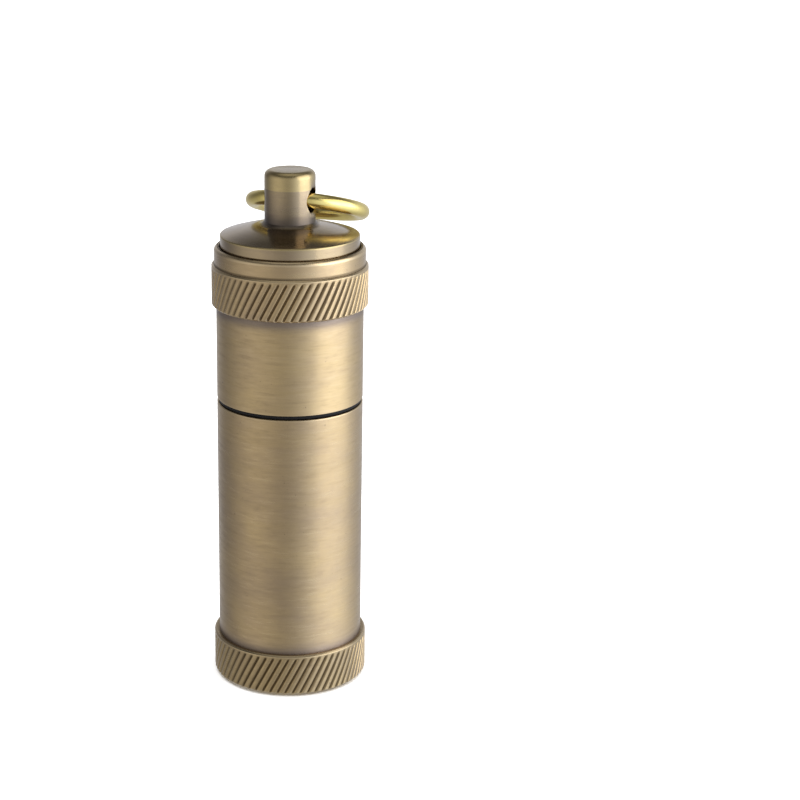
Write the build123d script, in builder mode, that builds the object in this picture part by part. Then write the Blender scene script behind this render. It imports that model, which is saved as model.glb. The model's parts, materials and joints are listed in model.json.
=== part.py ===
"""Keychain flint spark lighter: a fuel tank with its insert, and a screw cap with a swivel and ring.

Millimetres. The lighter stands on z = 0, and its axis is Z. Each piece is one solid and one STEP file.
"""
import os
from math import cos, pi, radians, sin, sqrt

from build123d import *

# ---- overall sizes
tube_radius = 7.75              # tank and cap are the same bar size
tank_height = 31.0              # tube's upper end, above the ground
seam_gap = 0.45                 # black line between the tank and the closed cap

# ---- tank
base_band_wall = 0.53           # outside the tube
base_band_height = 4.75
base_floor = 1.0
base_chamfer = 0.45
tube_wall = 1.0

# ---- neck, thread and seal
neck_wall = 0.6                 # inside the tube
neck_spigot_length = 7.0        # how far the neck reaches down inside the tube
seal_seat_wall = 0.35
seal_height = 1.35
thread_root_wall = 0.45
thread_depth = 0.4
thread_length = 2.85
thread_pitch = 0.75
thread_crest_width = 0.12
thread_flank_slope = 0.45       # half the ridge's widening for each millimetre of depth
thread_gap = 0.1                # radial, and along the axis on each flank
thread_bury = 0.06              # ridge's root, sunk into its wall
seal_inset = 0.15               # seal's edge, inside the tube's
seal_lower_wall = 0.38          # part of the seal that stands in the seam
seal_edge_fillet = 0.17

# ---- insert
insert_clearance = 0.1          # slip fit of the can in the neck
can_wall = 0.35
can_foot_gap = 1.4              # between the screw's head and the tank's floor
top_band_clearance = 0.2        # inside the cap's thread
top_band_height = 1.25
top_groove_height = 0.12
top_groove_depth = 0.18
top_disc_inset = 0.12
top_disc_height = 0.63
top_edge_fillet = 0.22
top_plate_thickness = 0.4
felt_thickness = 1.8
wadding_top_gap = 1.9
soft_gap = 0.05                 # felt and wadding stay just clear of their neighbours

# ---- spark works: wick and wheel stand on one line across the plate
works_angle = -28.0             # that line, from +X towards -Y, in degrees
wick_radius = 1.05
wick_offset = 4.2
wick_rise = 5.3                 # above the plate
wick_foot = 2.7                 # wick's lower end, above the felt
wheel_offset = 2.3
wheel_radius = 3.5
wheel_width = 3.4
wheel_foot_gap = 1.1            # between the wheel and the plate
wheel_head_room = 0.4           # between the wheel and the finial's stem
wheel_tooth_pitch = 0.5
wheel_tooth_depth = 0.15
wheel_tooth_width = 0.3
wheel_tooth_slant = 30.0        # from the axle's direction
wheel_edge_chamfer = 0.15
wheel_ring_count = 4
wheel_ring_width = 0.16
hub_radius = 1.35
hub_end_gap = 0.05              # between the hub and each ear
axle_radius = 0.6
running_clearance = 0.05
rivet_head_radius = 0.75
rivet_head_height = 0.3
sheet_thickness = 0.5
hub_length = 0.7                # room for the hub on each side of the wheel
ear_above_axle = 1.8
ear_reach_near = 1.6            # ear's edge beside the axle, towards the wick
ear_reach_far = 2.75
ear_corner_radius = 0.6
fold_radius = 0.3
web_reach_far = 3.0

# ---- flint feed
flint_radius = 1.15
flint_clearance = 0.05
flint_length = 3.9
flint_gap = 0.03                # between a flint at rest and the wheel
flint_tube_wall = 0.4
flint_tube_top_gap = 0.4        # below the wheel
plunger_height = 1.0
plunger_pin_length = 0.8
spring_wire_radius = 0.15
spring_radius = 0.85
spring_pitch = 1.18
spring_end_gap = 0.02
screw_head_radius = 2.0
screw_head_height = 1.0
screw_head_chamfer = 0.175
screw_length = 3.8
screw_slot_width = 0.5
screw_slot_depth = 0.45

# ---- cap and crown
mouth_edge = 0.07               # flat left at the cap's mouth outside its chamfer
mouth_chamfer_height = 0.85
crown_band_wall = 0.47          # outside the cap's tube
crown_band_height = 4.35
crown_shoulder_depth = 1.0      # cap tube's upper end, below the crown's ceiling
crown_rim_wall = 0.18
crown_rim_height = 1.85
crown_rim_fillet = 0.4
crown_plate_thickness = 0.8
crown_rim_width = 0.48
crown_recess_depth = 0.4

# ---- diagonal knurl on both bands
knurl_margin = 0.4
knurl_pitch = 0.835
knurl_angle = 62.0              # from the horizontal, rising to the right
knurl_width = 0.34
knurl_depth = 0.2
band_edge_chamfer = 0.18

# ---- finial, swivel and ring
finial_disc_clearance = 0.15    # inside the crown's rim
finial_disc_height = 1.4
finial_dome_rise = 1.1
dome_bulge = 0.6                # share of the rise reached halfway up the dome
finial_edge_fillet = 0.12
post_radius = 2.66
post_height = 5.7
post_top_fillet = 0.55
post_root_fillet = 0.4
stem_radius = 1.4
swivel_gap = 0.2                # thickness of the swivel washer
swivel_washer_radius = 5.0
stem_washer_radius = 2.3
stem_washer_thickness = 0.4
stem_head_radius = 1.7
stem_head_height = 0.35
cross_hole_clearance = 0.08
cross_hole_rise = 2.6           # above the foot of the post
cross_hole_angle = -21.0        # hole's direction, from +X towards -Y, in degrees
cross_hole_edge = 0.15
ring_wire_radius = 0.8
ring_radius = 5.8
ring_tilt = 18.5                # ring leans down behind the post, in degrees
ring_seam_angle = 1.5
ring_seam_place = 35.0

# ---- radii that follow from the tube, from the outside inwards
base_band_radius = tube_radius + base_band_wall
tube_bore_radius = tube_radius - tube_wall
neck_bore_radius = tube_bore_radius - neck_wall
seal_seat_radius = neck_bore_radius + seal_seat_wall
thread_root_radius = neck_bore_radius + thread_root_wall
thread_crest_radius = thread_root_radius + thread_depth
seal_outer_radius = tube_radius - seal_inset
cap_bore_radius = thread_crest_radius + thread_gap
cap_crest_radius = thread_root_radius + thread_gap
top_band_radius = cap_crest_radius - top_band_clearance
top_disc_radius = top_band_radius - top_disc_inset
can_radius = neck_bore_radius - insert_clearance
can_inner_radius = can_radius - can_wall
crown_band_radius = tube_radius + crown_band_wall
crown_rim_radius = tube_radius + crown_rim_wall
crown_recess_radius = crown_rim_radius - crown_rim_width
finial_disc_radius = crown_recess_radius - finial_disc_clearance

# ---- heights that follow from the tank, from the floor upwards
can_bottom = base_floor + can_foot_gap + screw_head_height
mouth_z = tank_height + seam_gap
thread_start_z = tank_height + seal_height
neck_top_z = thread_start_z + thread_length
plate_z = neck_top_z + top_band_height + top_groove_height + top_disc_height
plate_under_z = plate_z - top_plate_thickness
wheel_z = plate_z + wheel_foot_gap + wheel_radius
stem_end_z = wheel_z + wheel_radius + wheel_head_room
ceiling_z = stem_end_z + stem_head_height + stem_washer_thickness + running_clearance
cap_top_z = ceiling_z - crown_shoulder_depth
recess_z = ceiling_z + crown_plate_thickness
crown_top_z = recess_z + crown_recess_depth
crown_band_top_z = crown_top_z - crown_rim_height
crown_base_z = crown_band_top_z - crown_band_height
disc_z = recess_z + swivel_gap
disc_edge_z = disc_z + finial_disc_height
post_z = disc_edge_z + finial_dome_rise
finial_top_z = post_z + post_height
hole_z = post_z + cross_hole_rise

# ---- spark works and flint feed
ear_spacing = wheel_width + 2 * hub_length
ear_outer = ear_spacing / 2 + sheet_thickness
ear_rise = wheel_z + ear_above_axle - plate_z
flint_bore_radius = flint_radius + flint_clearance
flint_tube_radius = flint_bore_radius + flint_tube_wall
flint_top_z = wheel_z - wheel_radius - flint_gap
flint_bottom_z = flint_top_z - flint_length
plunger_bottom_z = flint_bottom_z - plunger_height
flint_tube_top_z = flint_top_z - flint_tube_top_gap
screw_top_z = can_bottom + screw_length

# ---- the ring's wire bends inside the straight hole: half its sag lies on each side of the hole's axis
ring_sag = ring_radius - sqrt(ring_radius**2 - post_radius**2)
wire_reach = ring_wire_radius * ring_radius / sqrt(ring_radius**2 - post_radius**2)
cross_hole_radius = ring_sag / 2 + wire_reach + cross_hole_clearance

# frames for what isn't on the main axis
works_direction = (cos(radians(works_angle)), sin(radians(works_angle)), 0)
works_plane = Plane((0, 0, 0), x_dir=works_direction, z_dir=(0, 0, 1))
hole_direction = Vector(cos(radians(cross_hole_angle)), sin(radians(cross_hole_angle)), 0)
ring_heading = Vector(-hole_direction.Y, hole_direction.X, 0)


def on_works_line(offset, height):
    """Level plane over a point of the line through wick and wheel."""
    origin = works_plane.from_local_coords((offset, 0, height))
    return Plane(origin, x_dir=works_plane.x_dir, z_dir=(0, 0, 1))


def across_works_line(offset, height, side):
    """Upright plane facing along the axle, beside the point of the works line."""
    origin = works_plane.from_local_coords((offset, side, height))
    return Plane(origin, x_dir=works_plane.x_dir, z_dir=works_plane.y_dir)


def write(piece, name):
    """Label the piece and write its STEP file."""
    piece.label = name
    export_step(piece, f"parts/{name}.step")


os.makedirs("parts", exist_ok=True)


# ---- diagonal knurl of the two bands
def knurl_count(band_radius):
    """Whole grooves that fit round the band at the knurl's pitch."""
    return round(2 * pi * band_radius / knurl_pitch)


def knurl_groove(band_radius, band_height):
    """One straight V cutter, tangent to the band, between its plain margins."""
    slant = radians(knurl_angle)
    run = (band_height / 2 - knurl_margin) / sin(slant)
    along = (cos(slant), 0, sin(slant))
    across = (sin(slant), 0, -cos(slant))
    with BuildPart() as groove:
        with BuildSketch(Plane((0, -band_radius, 0), x_dir=across, z_dir=along)):
            with BuildLine():
                Polyline(
                    (-knurl_width, -knurl_depth),
                    (0, knurl_depth),
                    (knurl_width, -knurl_depth),
                    close=True,
                )
            make_face()
        extrude(amount=run, both=True)
    return groove.part


# ---- one helical ridge, for the neck's thread and the cap's
def thread_ridge(root, crest, first_z, low_z, high_z):
    """A ridge from the root radius to the crest radius, trimmed square at both ends."""
    depth = abs(crest - root)
    inward = 1 if crest > root else -1
    half_crest = thread_crest_width / 2
    half_root = half_crest + (depth + thread_bury) * thread_flank_slope
    with BuildPart() as ridge:
        with BuildLine() as path:
            Helix(thread_pitch, high_z - first_z + thread_pitch, root, center=(0, 0, first_z))
        with BuildSketch(Plane((root, 0, first_z), x_dir=(1, 0, 0), z_dir=(0, -1, 0))):
            with BuildLine():
                Polyline(
                    (-inward * thread_bury, -half_root),
                    (inward * depth, -half_crest),
                    (inward * depth, half_crest),
                    (-inward * thread_bury, half_root),
                    close=True,
                )
            make_face()
        sweep(path=path.line, is_frenet=True)
        split(bisect_by=Plane.XY.offset(high_z), keep=Keep.BOTTOM)
        split(bisect_by=Plane.XY.offset(low_z), keep=Keep.TOP)
    return ridge.part


# ---- tank body
with BuildPart() as base_cup:
    with BuildSketch(Plane.XZ):
        with BuildLine():
            Polyline(
                (0, 0),
                (base_band_radius - base_chamfer, 0),
                (base_band_radius, base_chamfer),
                (base_band_radius, base_band_height - band_edge_chamfer),
                (base_band_radius - band_edge_chamfer, base_band_height),
                (tube_radius, base_band_height),
                (tube_radius, base_floor),
                (0, base_floor),
                close=True,
            )
        make_face()
    revolve(axis=Axis.Z)
    with Locations((0, 0, (base_band_height + base_chamfer) / 2)):
        with PolarLocations(0, knurl_count(base_band_radius)):
            add(knurl_groove(base_band_radius, base_band_height - base_chamfer), mode=Mode.SUBTRACT)
write(base_cup.part, "base_cup")

with BuildPart() as body_tube:
    with BuildSketch(Plane.XY.offset(base_floor)):
        Circle(tube_radius)
        Circle(tube_bore_radius, mode=Mode.SUBTRACT)
    extrude(amount=tank_height - base_floor)
write(body_tube.part, "body_tube")

neck_ridge = thread_ridge(
    thread_root_radius, thread_crest_radius, thread_start_z - thread_pitch, thread_start_z, neck_top_z
)
with BuildPart() as neck_sleeve:
    with BuildSketch(Plane.XZ):
        with BuildLine():
            Polyline(
                (neck_bore_radius, tank_height - neck_spigot_length),
                (tube_bore_radius, tank_height - neck_spigot_length),
                (tube_bore_radius, tank_height),
                (seal_seat_radius, tank_height),
                (seal_seat_radius, thread_start_z),
                (thread_root_radius, thread_start_z),
                (thread_root_radius, neck_top_z),
                (neck_bore_radius, neck_top_z),
                close=True,
            )
        make_face()
    revolve(axis=Axis.Z)
    add(neck_ridge)
write(neck_sleeve.part, "neck_sleeve")

with BuildPart() as o_ring:
    mouth_outer = tube_radius - mouth_edge
    mouth_slope = (mouth_outer - cap_bore_radius) / mouth_chamfer_height
    seal_top_z = mouth_z + mouth_chamfer_height - thread_gap
    seal_top_radius = seal_outer_radius - mouth_slope * (seal_top_z - tank_height - seal_lower_wall)
    with BuildSketch(Plane.XZ):
        with BuildLine():
            Polyline(
                (seal_seat_radius, tank_height),
                (seal_outer_radius, tank_height),
                (seal_outer_radius, tank_height + seal_lower_wall),
                (seal_top_radius, seal_top_z),
                (seal_seat_radius, seal_top_z),
                close=True,
            )
        seal_section = make_face()
        fillet(seal_section.vertices().group_by(Axis.X)[-1], seal_edge_fillet)
    revolve(axis=Axis.Z)
write(o_ring.part, "o_ring")

# ---- insert
with BuildPart() as insert_can:
    with BuildSketch(Plane.XY.offset(can_bottom)):
        Circle(can_radius)
        Circle(can_inner_radius, mode=Mode.SUBTRACT)
    extrude(amount=plate_under_z - can_bottom)
write(insert_can.part, "insert_can")

with BuildPart() as insert_top:
    band_top_z = neck_top_z + top_band_height
    groove_top_z = band_top_z + top_groove_height
    with BuildSketch(Plane.XZ):
        with BuildLine():
            Polyline(
                (can_radius, neck_top_z),
                (top_band_radius, neck_top_z),
                (top_band_radius, band_top_z),
                (top_disc_radius - top_groove_depth, band_top_z),
                (top_disc_radius - top_groove_depth, groove_top_z),
                (top_disc_radius, groove_top_z),
                (top_disc_radius, plate_z),
                (0, plate_z),
                (0, plate_under_z),
                (can_radius, plate_under_z),
                close=True,
            )
        make_face()
    revolve(axis=Axis.Z)
    fillet(insert_top.edges().filter_by(GeomType.CIRCLE).sort_by(Axis.Z)[-1], top_edge_fillet)
    with BuildSketch(on_works_line(-wick_offset, plate_under_z)):
        Circle(wick_radius)
    extrude(amount=top_plate_thickness, mode=Mode.SUBTRACT)
    with BuildSketch(on_works_line(wheel_offset, plate_under_z)):
        Circle(flint_tube_radius)
    extrude(amount=top_plate_thickness, mode=Mode.SUBTRACT)
write(insert_top.part, "insert_top")

felt_z = can_bottom + soft_gap
with BuildPart() as felt_pad:
    with BuildSketch(Plane.XY.offset(felt_z)):
        Circle(can_inner_radius - soft_gap)
    extrude(amount=felt_thickness)
    with BuildSketch(on_works_line(wheel_offset, felt_z)):
        Circle(flint_tube_radius + soft_gap)
    extrude(amount=felt_thickness, mode=Mode.SUBTRACT)
write(felt_pad.part, "felt_pad")

wadding_z = felt_z + felt_thickness + soft_gap
wadding_height = plate_under_z - wadding_top_gap - wadding_z
wick_bottom = wadding_z + wick_foot
with BuildPart() as cotton_wadding:
    with BuildSketch(Plane.XY.offset(wadding_z)):
        Circle(can_inner_radius - soft_gap)
    extrude(amount=wadding_height)
    with BuildSketch(on_works_line(wheel_offset, wadding_z)):
        Circle(flint_tube_radius + soft_gap)
    extrude(amount=wadding_height, mode=Mode.SUBTRACT)
    with BuildSketch(on_works_line(-wick_offset, wick_bottom - soft_gap)):
        Circle(wick_radius + soft_gap)
    extrude(amount=wadding_height, mode=Mode.SUBTRACT)
write(cotton_wadding.part, "cotton_wadding")

with BuildPart() as wick:
    with BuildSketch(on_works_line(-wick_offset, wick_bottom)):
        Circle(wick_radius)
    extrude(amount=plate_z + wick_rise - wick_bottom)
write(wick.part, "wick")

# ---- flint feed, from the screw upwards
with BuildPart() as flint_tube:
    with BuildSketch(on_works_line(wheel_offset, can_bottom)):
        Circle(flint_tube_radius)
        Circle(flint_bore_radius, mode=Mode.SUBTRACT)
    extrude(amount=flint_tube_top_z - can_bottom)
write(flint_tube.part, "flint_tube")

with BuildPart() as flint_screw:
    with BuildSketch(on_works_line(wheel_offset, can_bottom - screw_head_height)):
        Circle(screw_head_radius)
    extrude(amount=screw_head_height)
    with BuildSketch(on_works_line(wheel_offset, can_bottom)):
        Circle(flint_bore_radius)
    extrude(amount=screw_length)
    chamfer(flint_screw.edges().filter_by(GeomType.CIRCLE).sort_by(Axis.Z)[0], screw_head_chamfer)
    with BuildSketch(on_works_line(wheel_offset, can_bottom - screw_head_height)):
        Rectangle(2 * screw_head_radius, screw_slot_width)
    extrude(amount=screw_slot_depth, mode=Mode.SUBTRACT)
write(flint_screw.part, "flint_screw")

with BuildPart() as flint_spring:
    coil_low_z = screw_top_z + spring_wire_radius + spring_end_gap
    coil_length = plunger_bottom_z - spring_wire_radius - spring_end_gap - coil_low_z
    with BuildLine(on_works_line(wheel_offset, coil_low_z)) as coil:
        Helix(coil_length / round(coil_length / spring_pitch), coil_length, spring_radius)
    with BuildSketch(Plane(coil.line @ 0, z_dir=coil.line % 0)):
        Circle(spring_wire_radius)
    sweep(path=coil.line, is_frenet=True)
write(flint_spring.part, "flint_spring")

with BuildPart() as spring_plunger:
    with BuildSketch(on_works_line(wheel_offset, plunger_bottom_z)):
        Circle(flint_radius)
    extrude(amount=plunger_height)
    with BuildSketch(on_works_line(wheel_offset, plunger_bottom_z - plunger_pin_length)):
        Circle(spring_radius - spring_wire_radius - soft_gap)
    extrude(amount=plunger_pin_length)
write(spring_plunger.part, "spring_plunger")

with BuildPart() as flint:
    with BuildSketch(on_works_line(wheel_offset, flint_bottom_z)):
        Circle(flint_radius)
    extrude(amount=flint_length)
write(flint.part, "flint")

# ---- wheel and bracket
ear_length = ear_reach_near + ear_reach_far
ear_middle = wheel_offset + (ear_reach_far - ear_reach_near) / 2
web_length = ear_reach_near + web_reach_far
web_middle = wheel_offset + (web_reach_far - ear_reach_near) / 2
with BuildPart() as wheel_bracket:
    near_end = works_plane.from_local_coords((wheel_offset - ear_reach_near, 0, plate_z + ear_rise / 2))
    with BuildSketch(Plane(near_end, x_dir=works_plane.y_dir, z_dir=works_plane.x_dir)) as channel:
        Rectangle(2 * ear_outer, ear_rise)
        fillet(channel.vertices().group_by(Axis.Y)[0], fold_radius)
        with Locations((0, sheet_thickness)):
            Rectangle(ear_spacing, ear_rise, mode=Mode.SUBTRACT)
    extrude(amount=web_length)
    with BuildSketch(across_works_line(ear_middle, plate_z + ear_rise / 2, 0)) as ear:
        Rectangle(ear_length, ear_rise)
        fillet(ear.vertices(), ear_corner_radius)
        with Locations((web_middle - ear_middle, (sheet_thickness - ear_rise) / 2)):
            Rectangle(web_length, sheet_thickness)
    extrude(amount=ear_outer, both=True, mode=Mode.INTERSECT)
    with BuildSketch(on_works_line(wheel_offset, plate_z)):
        Circle(flint_tube_radius)
    extrude(amount=sheet_thickness, mode=Mode.SUBTRACT)
    with BuildSketch(across_works_line(wheel_offset, wheel_z, 0)):
        Circle(axle_radius)
    extrude(amount=ear_outer, both=True, mode=Mode.SUBTRACT)
write(wheel_bracket.part, "wheel_bracket")

with BuildPart() as wheel_axle:
    with BuildSketch(across_works_line(wheel_offset, wheel_z, 0)):
        Circle(axle_radius)
    extrude(amount=ear_outer, both=True)
    for side in (-ear_outer - rivet_head_height, ear_outer):
        with BuildSketch(across_works_line(wheel_offset, wheel_z, side)):
            Circle(rivet_head_radius)
        extrude(amount=rivet_head_height)
    axle_rims = wheel_axle.edges().filter_by(GeomType.CIRCLE).sort_by(Axis((0, 0, 0), works_plane.y_dir))
    fillet([axle_rims[0], axle_rims[-1]], rivet_head_height / 2)
write(wheel_axle.part, "wheel_axle")


# ---- spark wheel: slanted teeth crossed by rings of V grooves
with BuildPart() as wheel_groove:
    slant = radians(wheel_tooth_slant)
    along = works_plane.y_dir * cos(slant) + works_plane.x_dir * sin(slant)
    across = works_plane.x_dir * cos(slant) - works_plane.y_dir * sin(slant)
    crest = works_plane.from_local_coords((wheel_offset, 0, wheel_z + wheel_radius))
    with BuildSketch(Plane(crest, x_dir=across, z_dir=along)):
        with BuildLine():
            Polyline(
                (-wheel_tooth_width, -wheel_tooth_depth),
                (0, wheel_tooth_depth),
                (wheel_tooth_width, -wheel_tooth_depth),
                close=True,
            )
        make_face()
    extrude(amount=wheel_width, both=True)

axle_line = Axis(works_plane.from_local_coords((wheel_offset, 0, wheel_z)), works_plane.y_dir)
axle_plane = Plane(axle_line.position, x_dir=works_plane.y_dir, z_dir=works_plane.x_dir)
with BuildPart() as spark_wheel:
    ring_pitch = wheel_width / (wheel_ring_count + 1)
    with BuildSketch(axle_plane) as section:
        with BuildLine():
            edge = wheel_width / 2
            Polyline(
                (-edge, 0),
                (-edge, wheel_radius - wheel_edge_chamfer),
                (wheel_edge_chamfer - edge, wheel_radius),
                (edge - wheel_edge_chamfer, wheel_radius),
                (edge, wheel_radius - wheel_edge_chamfer),
                (edge, 0),
                close=True,
            )
        make_face()
        with Locations((0, wheel_radius)):
            with GridLocations(ring_pitch, 0, wheel_ring_count, 1):
                Rectangle(wheel_ring_width, wheel_ring_width, rotation=45, mode=Mode.SUBTRACT)
    revolve(axis=axle_line)
    tooth_count = round(2 * pi * wheel_radius / wheel_tooth_pitch)
    tooth_turn = 360 / tooth_count
    grooves = [wheel_groove.part.rotate(axle_line, tooth * tooth_turn) for tooth in range(tooth_count)]
    add(grooves, mode=Mode.SUBTRACT)
    with BuildSketch(across_works_line(wheel_offset, wheel_z, 0)):
        Circle(hub_radius)
    extrude(amount=ear_spacing / 2 - hub_end_gap, both=True)
    with BuildSketch(across_works_line(wheel_offset, wheel_z, 0)):
        Circle(axle_radius + running_clearance)
    extrude(amount=ear_spacing, both=True, mode=Mode.SUBTRACT)
write(spark_wheel.part, "spark_wheel")

# ---- cap
cap_thread_z = mouth_z + mouth_chamfer_height
cap_ridge = thread_ridge(
    cap_bore_radius,
    cap_crest_radius,
    thread_start_z - thread_pitch / 2,
    cap_thread_z,
    neck_top_z + thread_pitch / 2,
)
with BuildPart() as cap_shell:
    with BuildSketch(Plane.XZ):
        with BuildLine():
            Polyline(
                (tube_radius - mouth_edge, mouth_z),
                (tube_radius, mouth_z),
                (tube_radius, cap_top_z),
                (cap_bore_radius, cap_top_z),
                (cap_bore_radius, cap_thread_z),
                close=True,
            )
        make_face()
    revolve(axis=Axis.Z)
    add(cap_ridge)
write(cap_shell.part, "cap_shell")

with BuildPart() as cap_crown:
    with BuildSketch(Plane.XZ) as profile:
        with BuildLine():
            Polyline(
                (tube_radius, crown_base_z),
                (crown_band_radius - band_edge_chamfer, crown_base_z),
                (crown_band_radius, crown_base_z + band_edge_chamfer),
                (crown_band_radius, crown_band_top_z - band_edge_chamfer),
                (crown_band_radius - band_edge_chamfer, crown_band_top_z),
                (crown_rim_radius, crown_band_top_z),
                (crown_rim_radius, crown_top_z),
                (crown_recess_radius, crown_top_z),
                (crown_recess_radius, recess_z),
                (stem_radius + running_clearance, recess_z),
                (stem_radius + running_clearance, ceiling_z),
                (cap_bore_radius, ceiling_z),
                (cap_bore_radius, cap_top_z),
                (tube_radius, cap_top_z),
                close=True,
            )
        make_face()
        fillet(profile.vertices().sort_by_distance((crown_rim_radius, crown_top_z))[0], crown_rim_fillet)
    revolve(axis=Axis.Z)
    with Locations((0, 0, crown_base_z + crown_band_height / 2)):
        with PolarLocations(0, knurl_count(crown_band_radius)):
            add(knurl_groove(crown_band_radius, crown_band_height), mode=Mode.SUBTRACT)
write(cap_crown.part, "cap_crown")

# ---- finial, its washers and the ring
with BuildPart() as swivel_washer:
    with BuildSketch(Plane.XY.offset(recess_z)):
        Circle(swivel_washer_radius)
        Circle(stem_radius + running_clearance, mode=Mode.SUBTRACT)
    extrude(amount=swivel_gap)
write(swivel_washer.part, "swivel_washer")

with BuildPart() as finial:
    dome_middle = (finial_disc_radius + post_radius) / 2
    dome_middle_z = disc_edge_z + finial_dome_rise * dome_bulge
    with BuildSketch(Plane.XZ) as profile:
        with BuildLine():
            disc_side = Polyline(
                (0, stem_end_z),
                (stem_head_radius, stem_end_z),
                (stem_head_radius, stem_end_z + stem_head_height),
                (stem_radius, stem_end_z + stem_head_height),
                (stem_radius, disc_z),
                (finial_disc_radius, disc_z),
                (finial_disc_radius, disc_edge_z),
            )
            ThreePointArc(disc_side @ 1, (dome_middle, dome_middle_z), (post_radius, post_z))
            post_side = Line((post_radius, post_z), (post_radius, finial_top_z))
            Polyline(post_side @ 1, (0, finial_top_z), (0, stem_end_z))
        make_face()
        for corner, rounding in (
            ((finial_disc_radius, disc_edge_z), finial_edge_fillet),
            ((post_radius, post_z), post_root_fillet),
            ((post_radius, finial_top_z), post_top_fillet),
        ):
            fillet(profile.vertices().sort_by_distance(corner)[0], rounding)
    revolve(axis=Axis.Z)
    with BuildSketch(Plane((0, 0, hole_z), x_dir=ring_heading, z_dir=hole_direction)):
        Circle(cross_hole_radius)
    extrude(amount=post_radius * 2, both=True, mode=Mode.SUBTRACT)
    hole_wall = finial.faces(Select.LAST).sort_by_distance((0, 0, hole_z))[0]
    chamfer(hole_wall.edges().filter_by(GeomType.LINE, reverse=True), cross_hole_edge)
write(finial.part, "finial")

with BuildPart() as stem_washer:
    with BuildSketch(Plane.XY.offset(stem_end_z + stem_head_height)):
        Circle(stem_washer_radius)
        Circle(stem_radius, mode=Mode.SUBTRACT)
    extrude(amount=stem_washer_thickness)
write(stem_washer.part, "stem_washer")

with BuildPart() as key_ring:
    tilt = radians(ring_tilt)
    heading = ring_heading * cos(tilt) - Vector(0, 0, sin(tilt))
    ring_normal = ring_heading * sin(tilt) + Vector(0, 0, cos(tilt))
    ring_centre = Vector(0, 0, hole_z) + heading * (ring_radius - ring_sag / 2)
    seam = radians(ring_seam_place)
    outward = heading * cos(seam) + hole_direction * sin(seam)
    with BuildSketch(Plane(ring_centre, x_dir=outward, z_dir=ring_normal.cross(outward))):
        with Locations((ring_radius, 0)):
            Circle(ring_wire_radius)
    revolve(axis=Axis(ring_centre, ring_normal), revolution_arc=360 - ring_seam_angle)
write(key_ring.part, "key_ring")
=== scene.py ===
import json
import math
import random

import bmesh
import bpy
from mathutils import Matrix, Vector, noise


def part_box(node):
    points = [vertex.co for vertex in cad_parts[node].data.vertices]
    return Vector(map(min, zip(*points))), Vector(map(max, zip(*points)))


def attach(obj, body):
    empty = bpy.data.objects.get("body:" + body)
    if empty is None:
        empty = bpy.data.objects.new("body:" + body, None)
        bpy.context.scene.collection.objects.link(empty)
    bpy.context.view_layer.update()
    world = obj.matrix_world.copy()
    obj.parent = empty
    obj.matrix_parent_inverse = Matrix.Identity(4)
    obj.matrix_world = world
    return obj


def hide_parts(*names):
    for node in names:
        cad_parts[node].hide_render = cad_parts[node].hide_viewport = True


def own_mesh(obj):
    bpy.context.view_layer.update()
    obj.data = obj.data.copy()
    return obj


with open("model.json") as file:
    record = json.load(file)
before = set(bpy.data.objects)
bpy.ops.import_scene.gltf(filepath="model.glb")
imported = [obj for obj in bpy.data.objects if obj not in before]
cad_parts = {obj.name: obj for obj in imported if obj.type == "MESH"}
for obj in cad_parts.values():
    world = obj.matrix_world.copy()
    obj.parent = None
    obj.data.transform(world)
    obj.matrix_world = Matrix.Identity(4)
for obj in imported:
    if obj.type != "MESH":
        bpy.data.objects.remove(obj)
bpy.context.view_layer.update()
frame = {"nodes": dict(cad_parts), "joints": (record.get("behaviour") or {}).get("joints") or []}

mm = 0.001
random.seed(7)


# places read from the frame, in mm
def low(node):
    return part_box(node)[0] / mm


def high(node):
    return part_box(node)[1] / mm


def middle(node):
    return (low(node) + high(node)) / 2


def radiusOf(node):
    return (high(node).x - low(node).x) / 2


def joint(name):
    return next(j for j in frame["joints"] if j["name"] == name)


# the line through wick and wheel, seen from above, and the axle across it
worksLine = (middle("spark_wheel") - middle("wick")).to_2d().to_3d().normalized()
axleLine = Vector(joint("wheel_spin")["axis"]).normalized()
wheelPivot = Vector(joint("wheel_spin")["pos_m"]) / mm


# turned work
# corners are (radius, height, rounding, painted shade), the last two if needed; rows gain a wear value
def turnedOutline(corners, closed=False, steps=5, support=0.1):
    outline = []
    last = len(corners) - 1
    for index, corner in enumerate(corners):
        here = Vector(corner[:2])
        rounding, paintedShade = (*corner[2:], 0.0, 0.0)[:2]
        if not rounding or (not closed and index in (0, last)):
            outline.append((here.x, here.y, 0.0, paintedShade))
            continue
        toLast = Vector(corners[index - 1][:2]) - here
        toNext = Vector(corners[(index + 1) % len(corners)][:2]) - here
        half = toLast.angle(toNext) / 2
        cut = rounding / math.tan(half)
        centre = here + (toLast.normalized() + toNext.normalized()).normalized() * rounding / math.sin(half)
        if toLast.length > 2 * (cut + support):
            point = here + toLast.normalized() * (cut + support)
            outline.append((point.x, point.y, 0.0, paintedShade))
        first = here + toLast.normalized() * cut - centre
        final = here + toNext.normalized() * cut - centre
        sweep = math.pi - 2 * half
        for step in range(steps + 1):
            turn = sweep * step / steps
            spoke = (first * math.sin(sweep - turn) + final * math.sin(turn)) / math.sin(sweep)
            outline.append((centre.x + spoke.x, centre.y + spoke.y, 1.0, paintedShade))
        if toNext.length > 2 * (cut + support):
            point = here + toNext.normalized() * (cut + support)
            outline.append((point.x, point.y, 0.0, paintedShade))
    return outline


# rows up a grooved band: first its chamfer, then its wall, closer together where the grooves run out
bandShape = {"chamferRows": 8, "chamferWear": 0.6, "wallGap": 0.04, "ease": 0.5}


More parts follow.
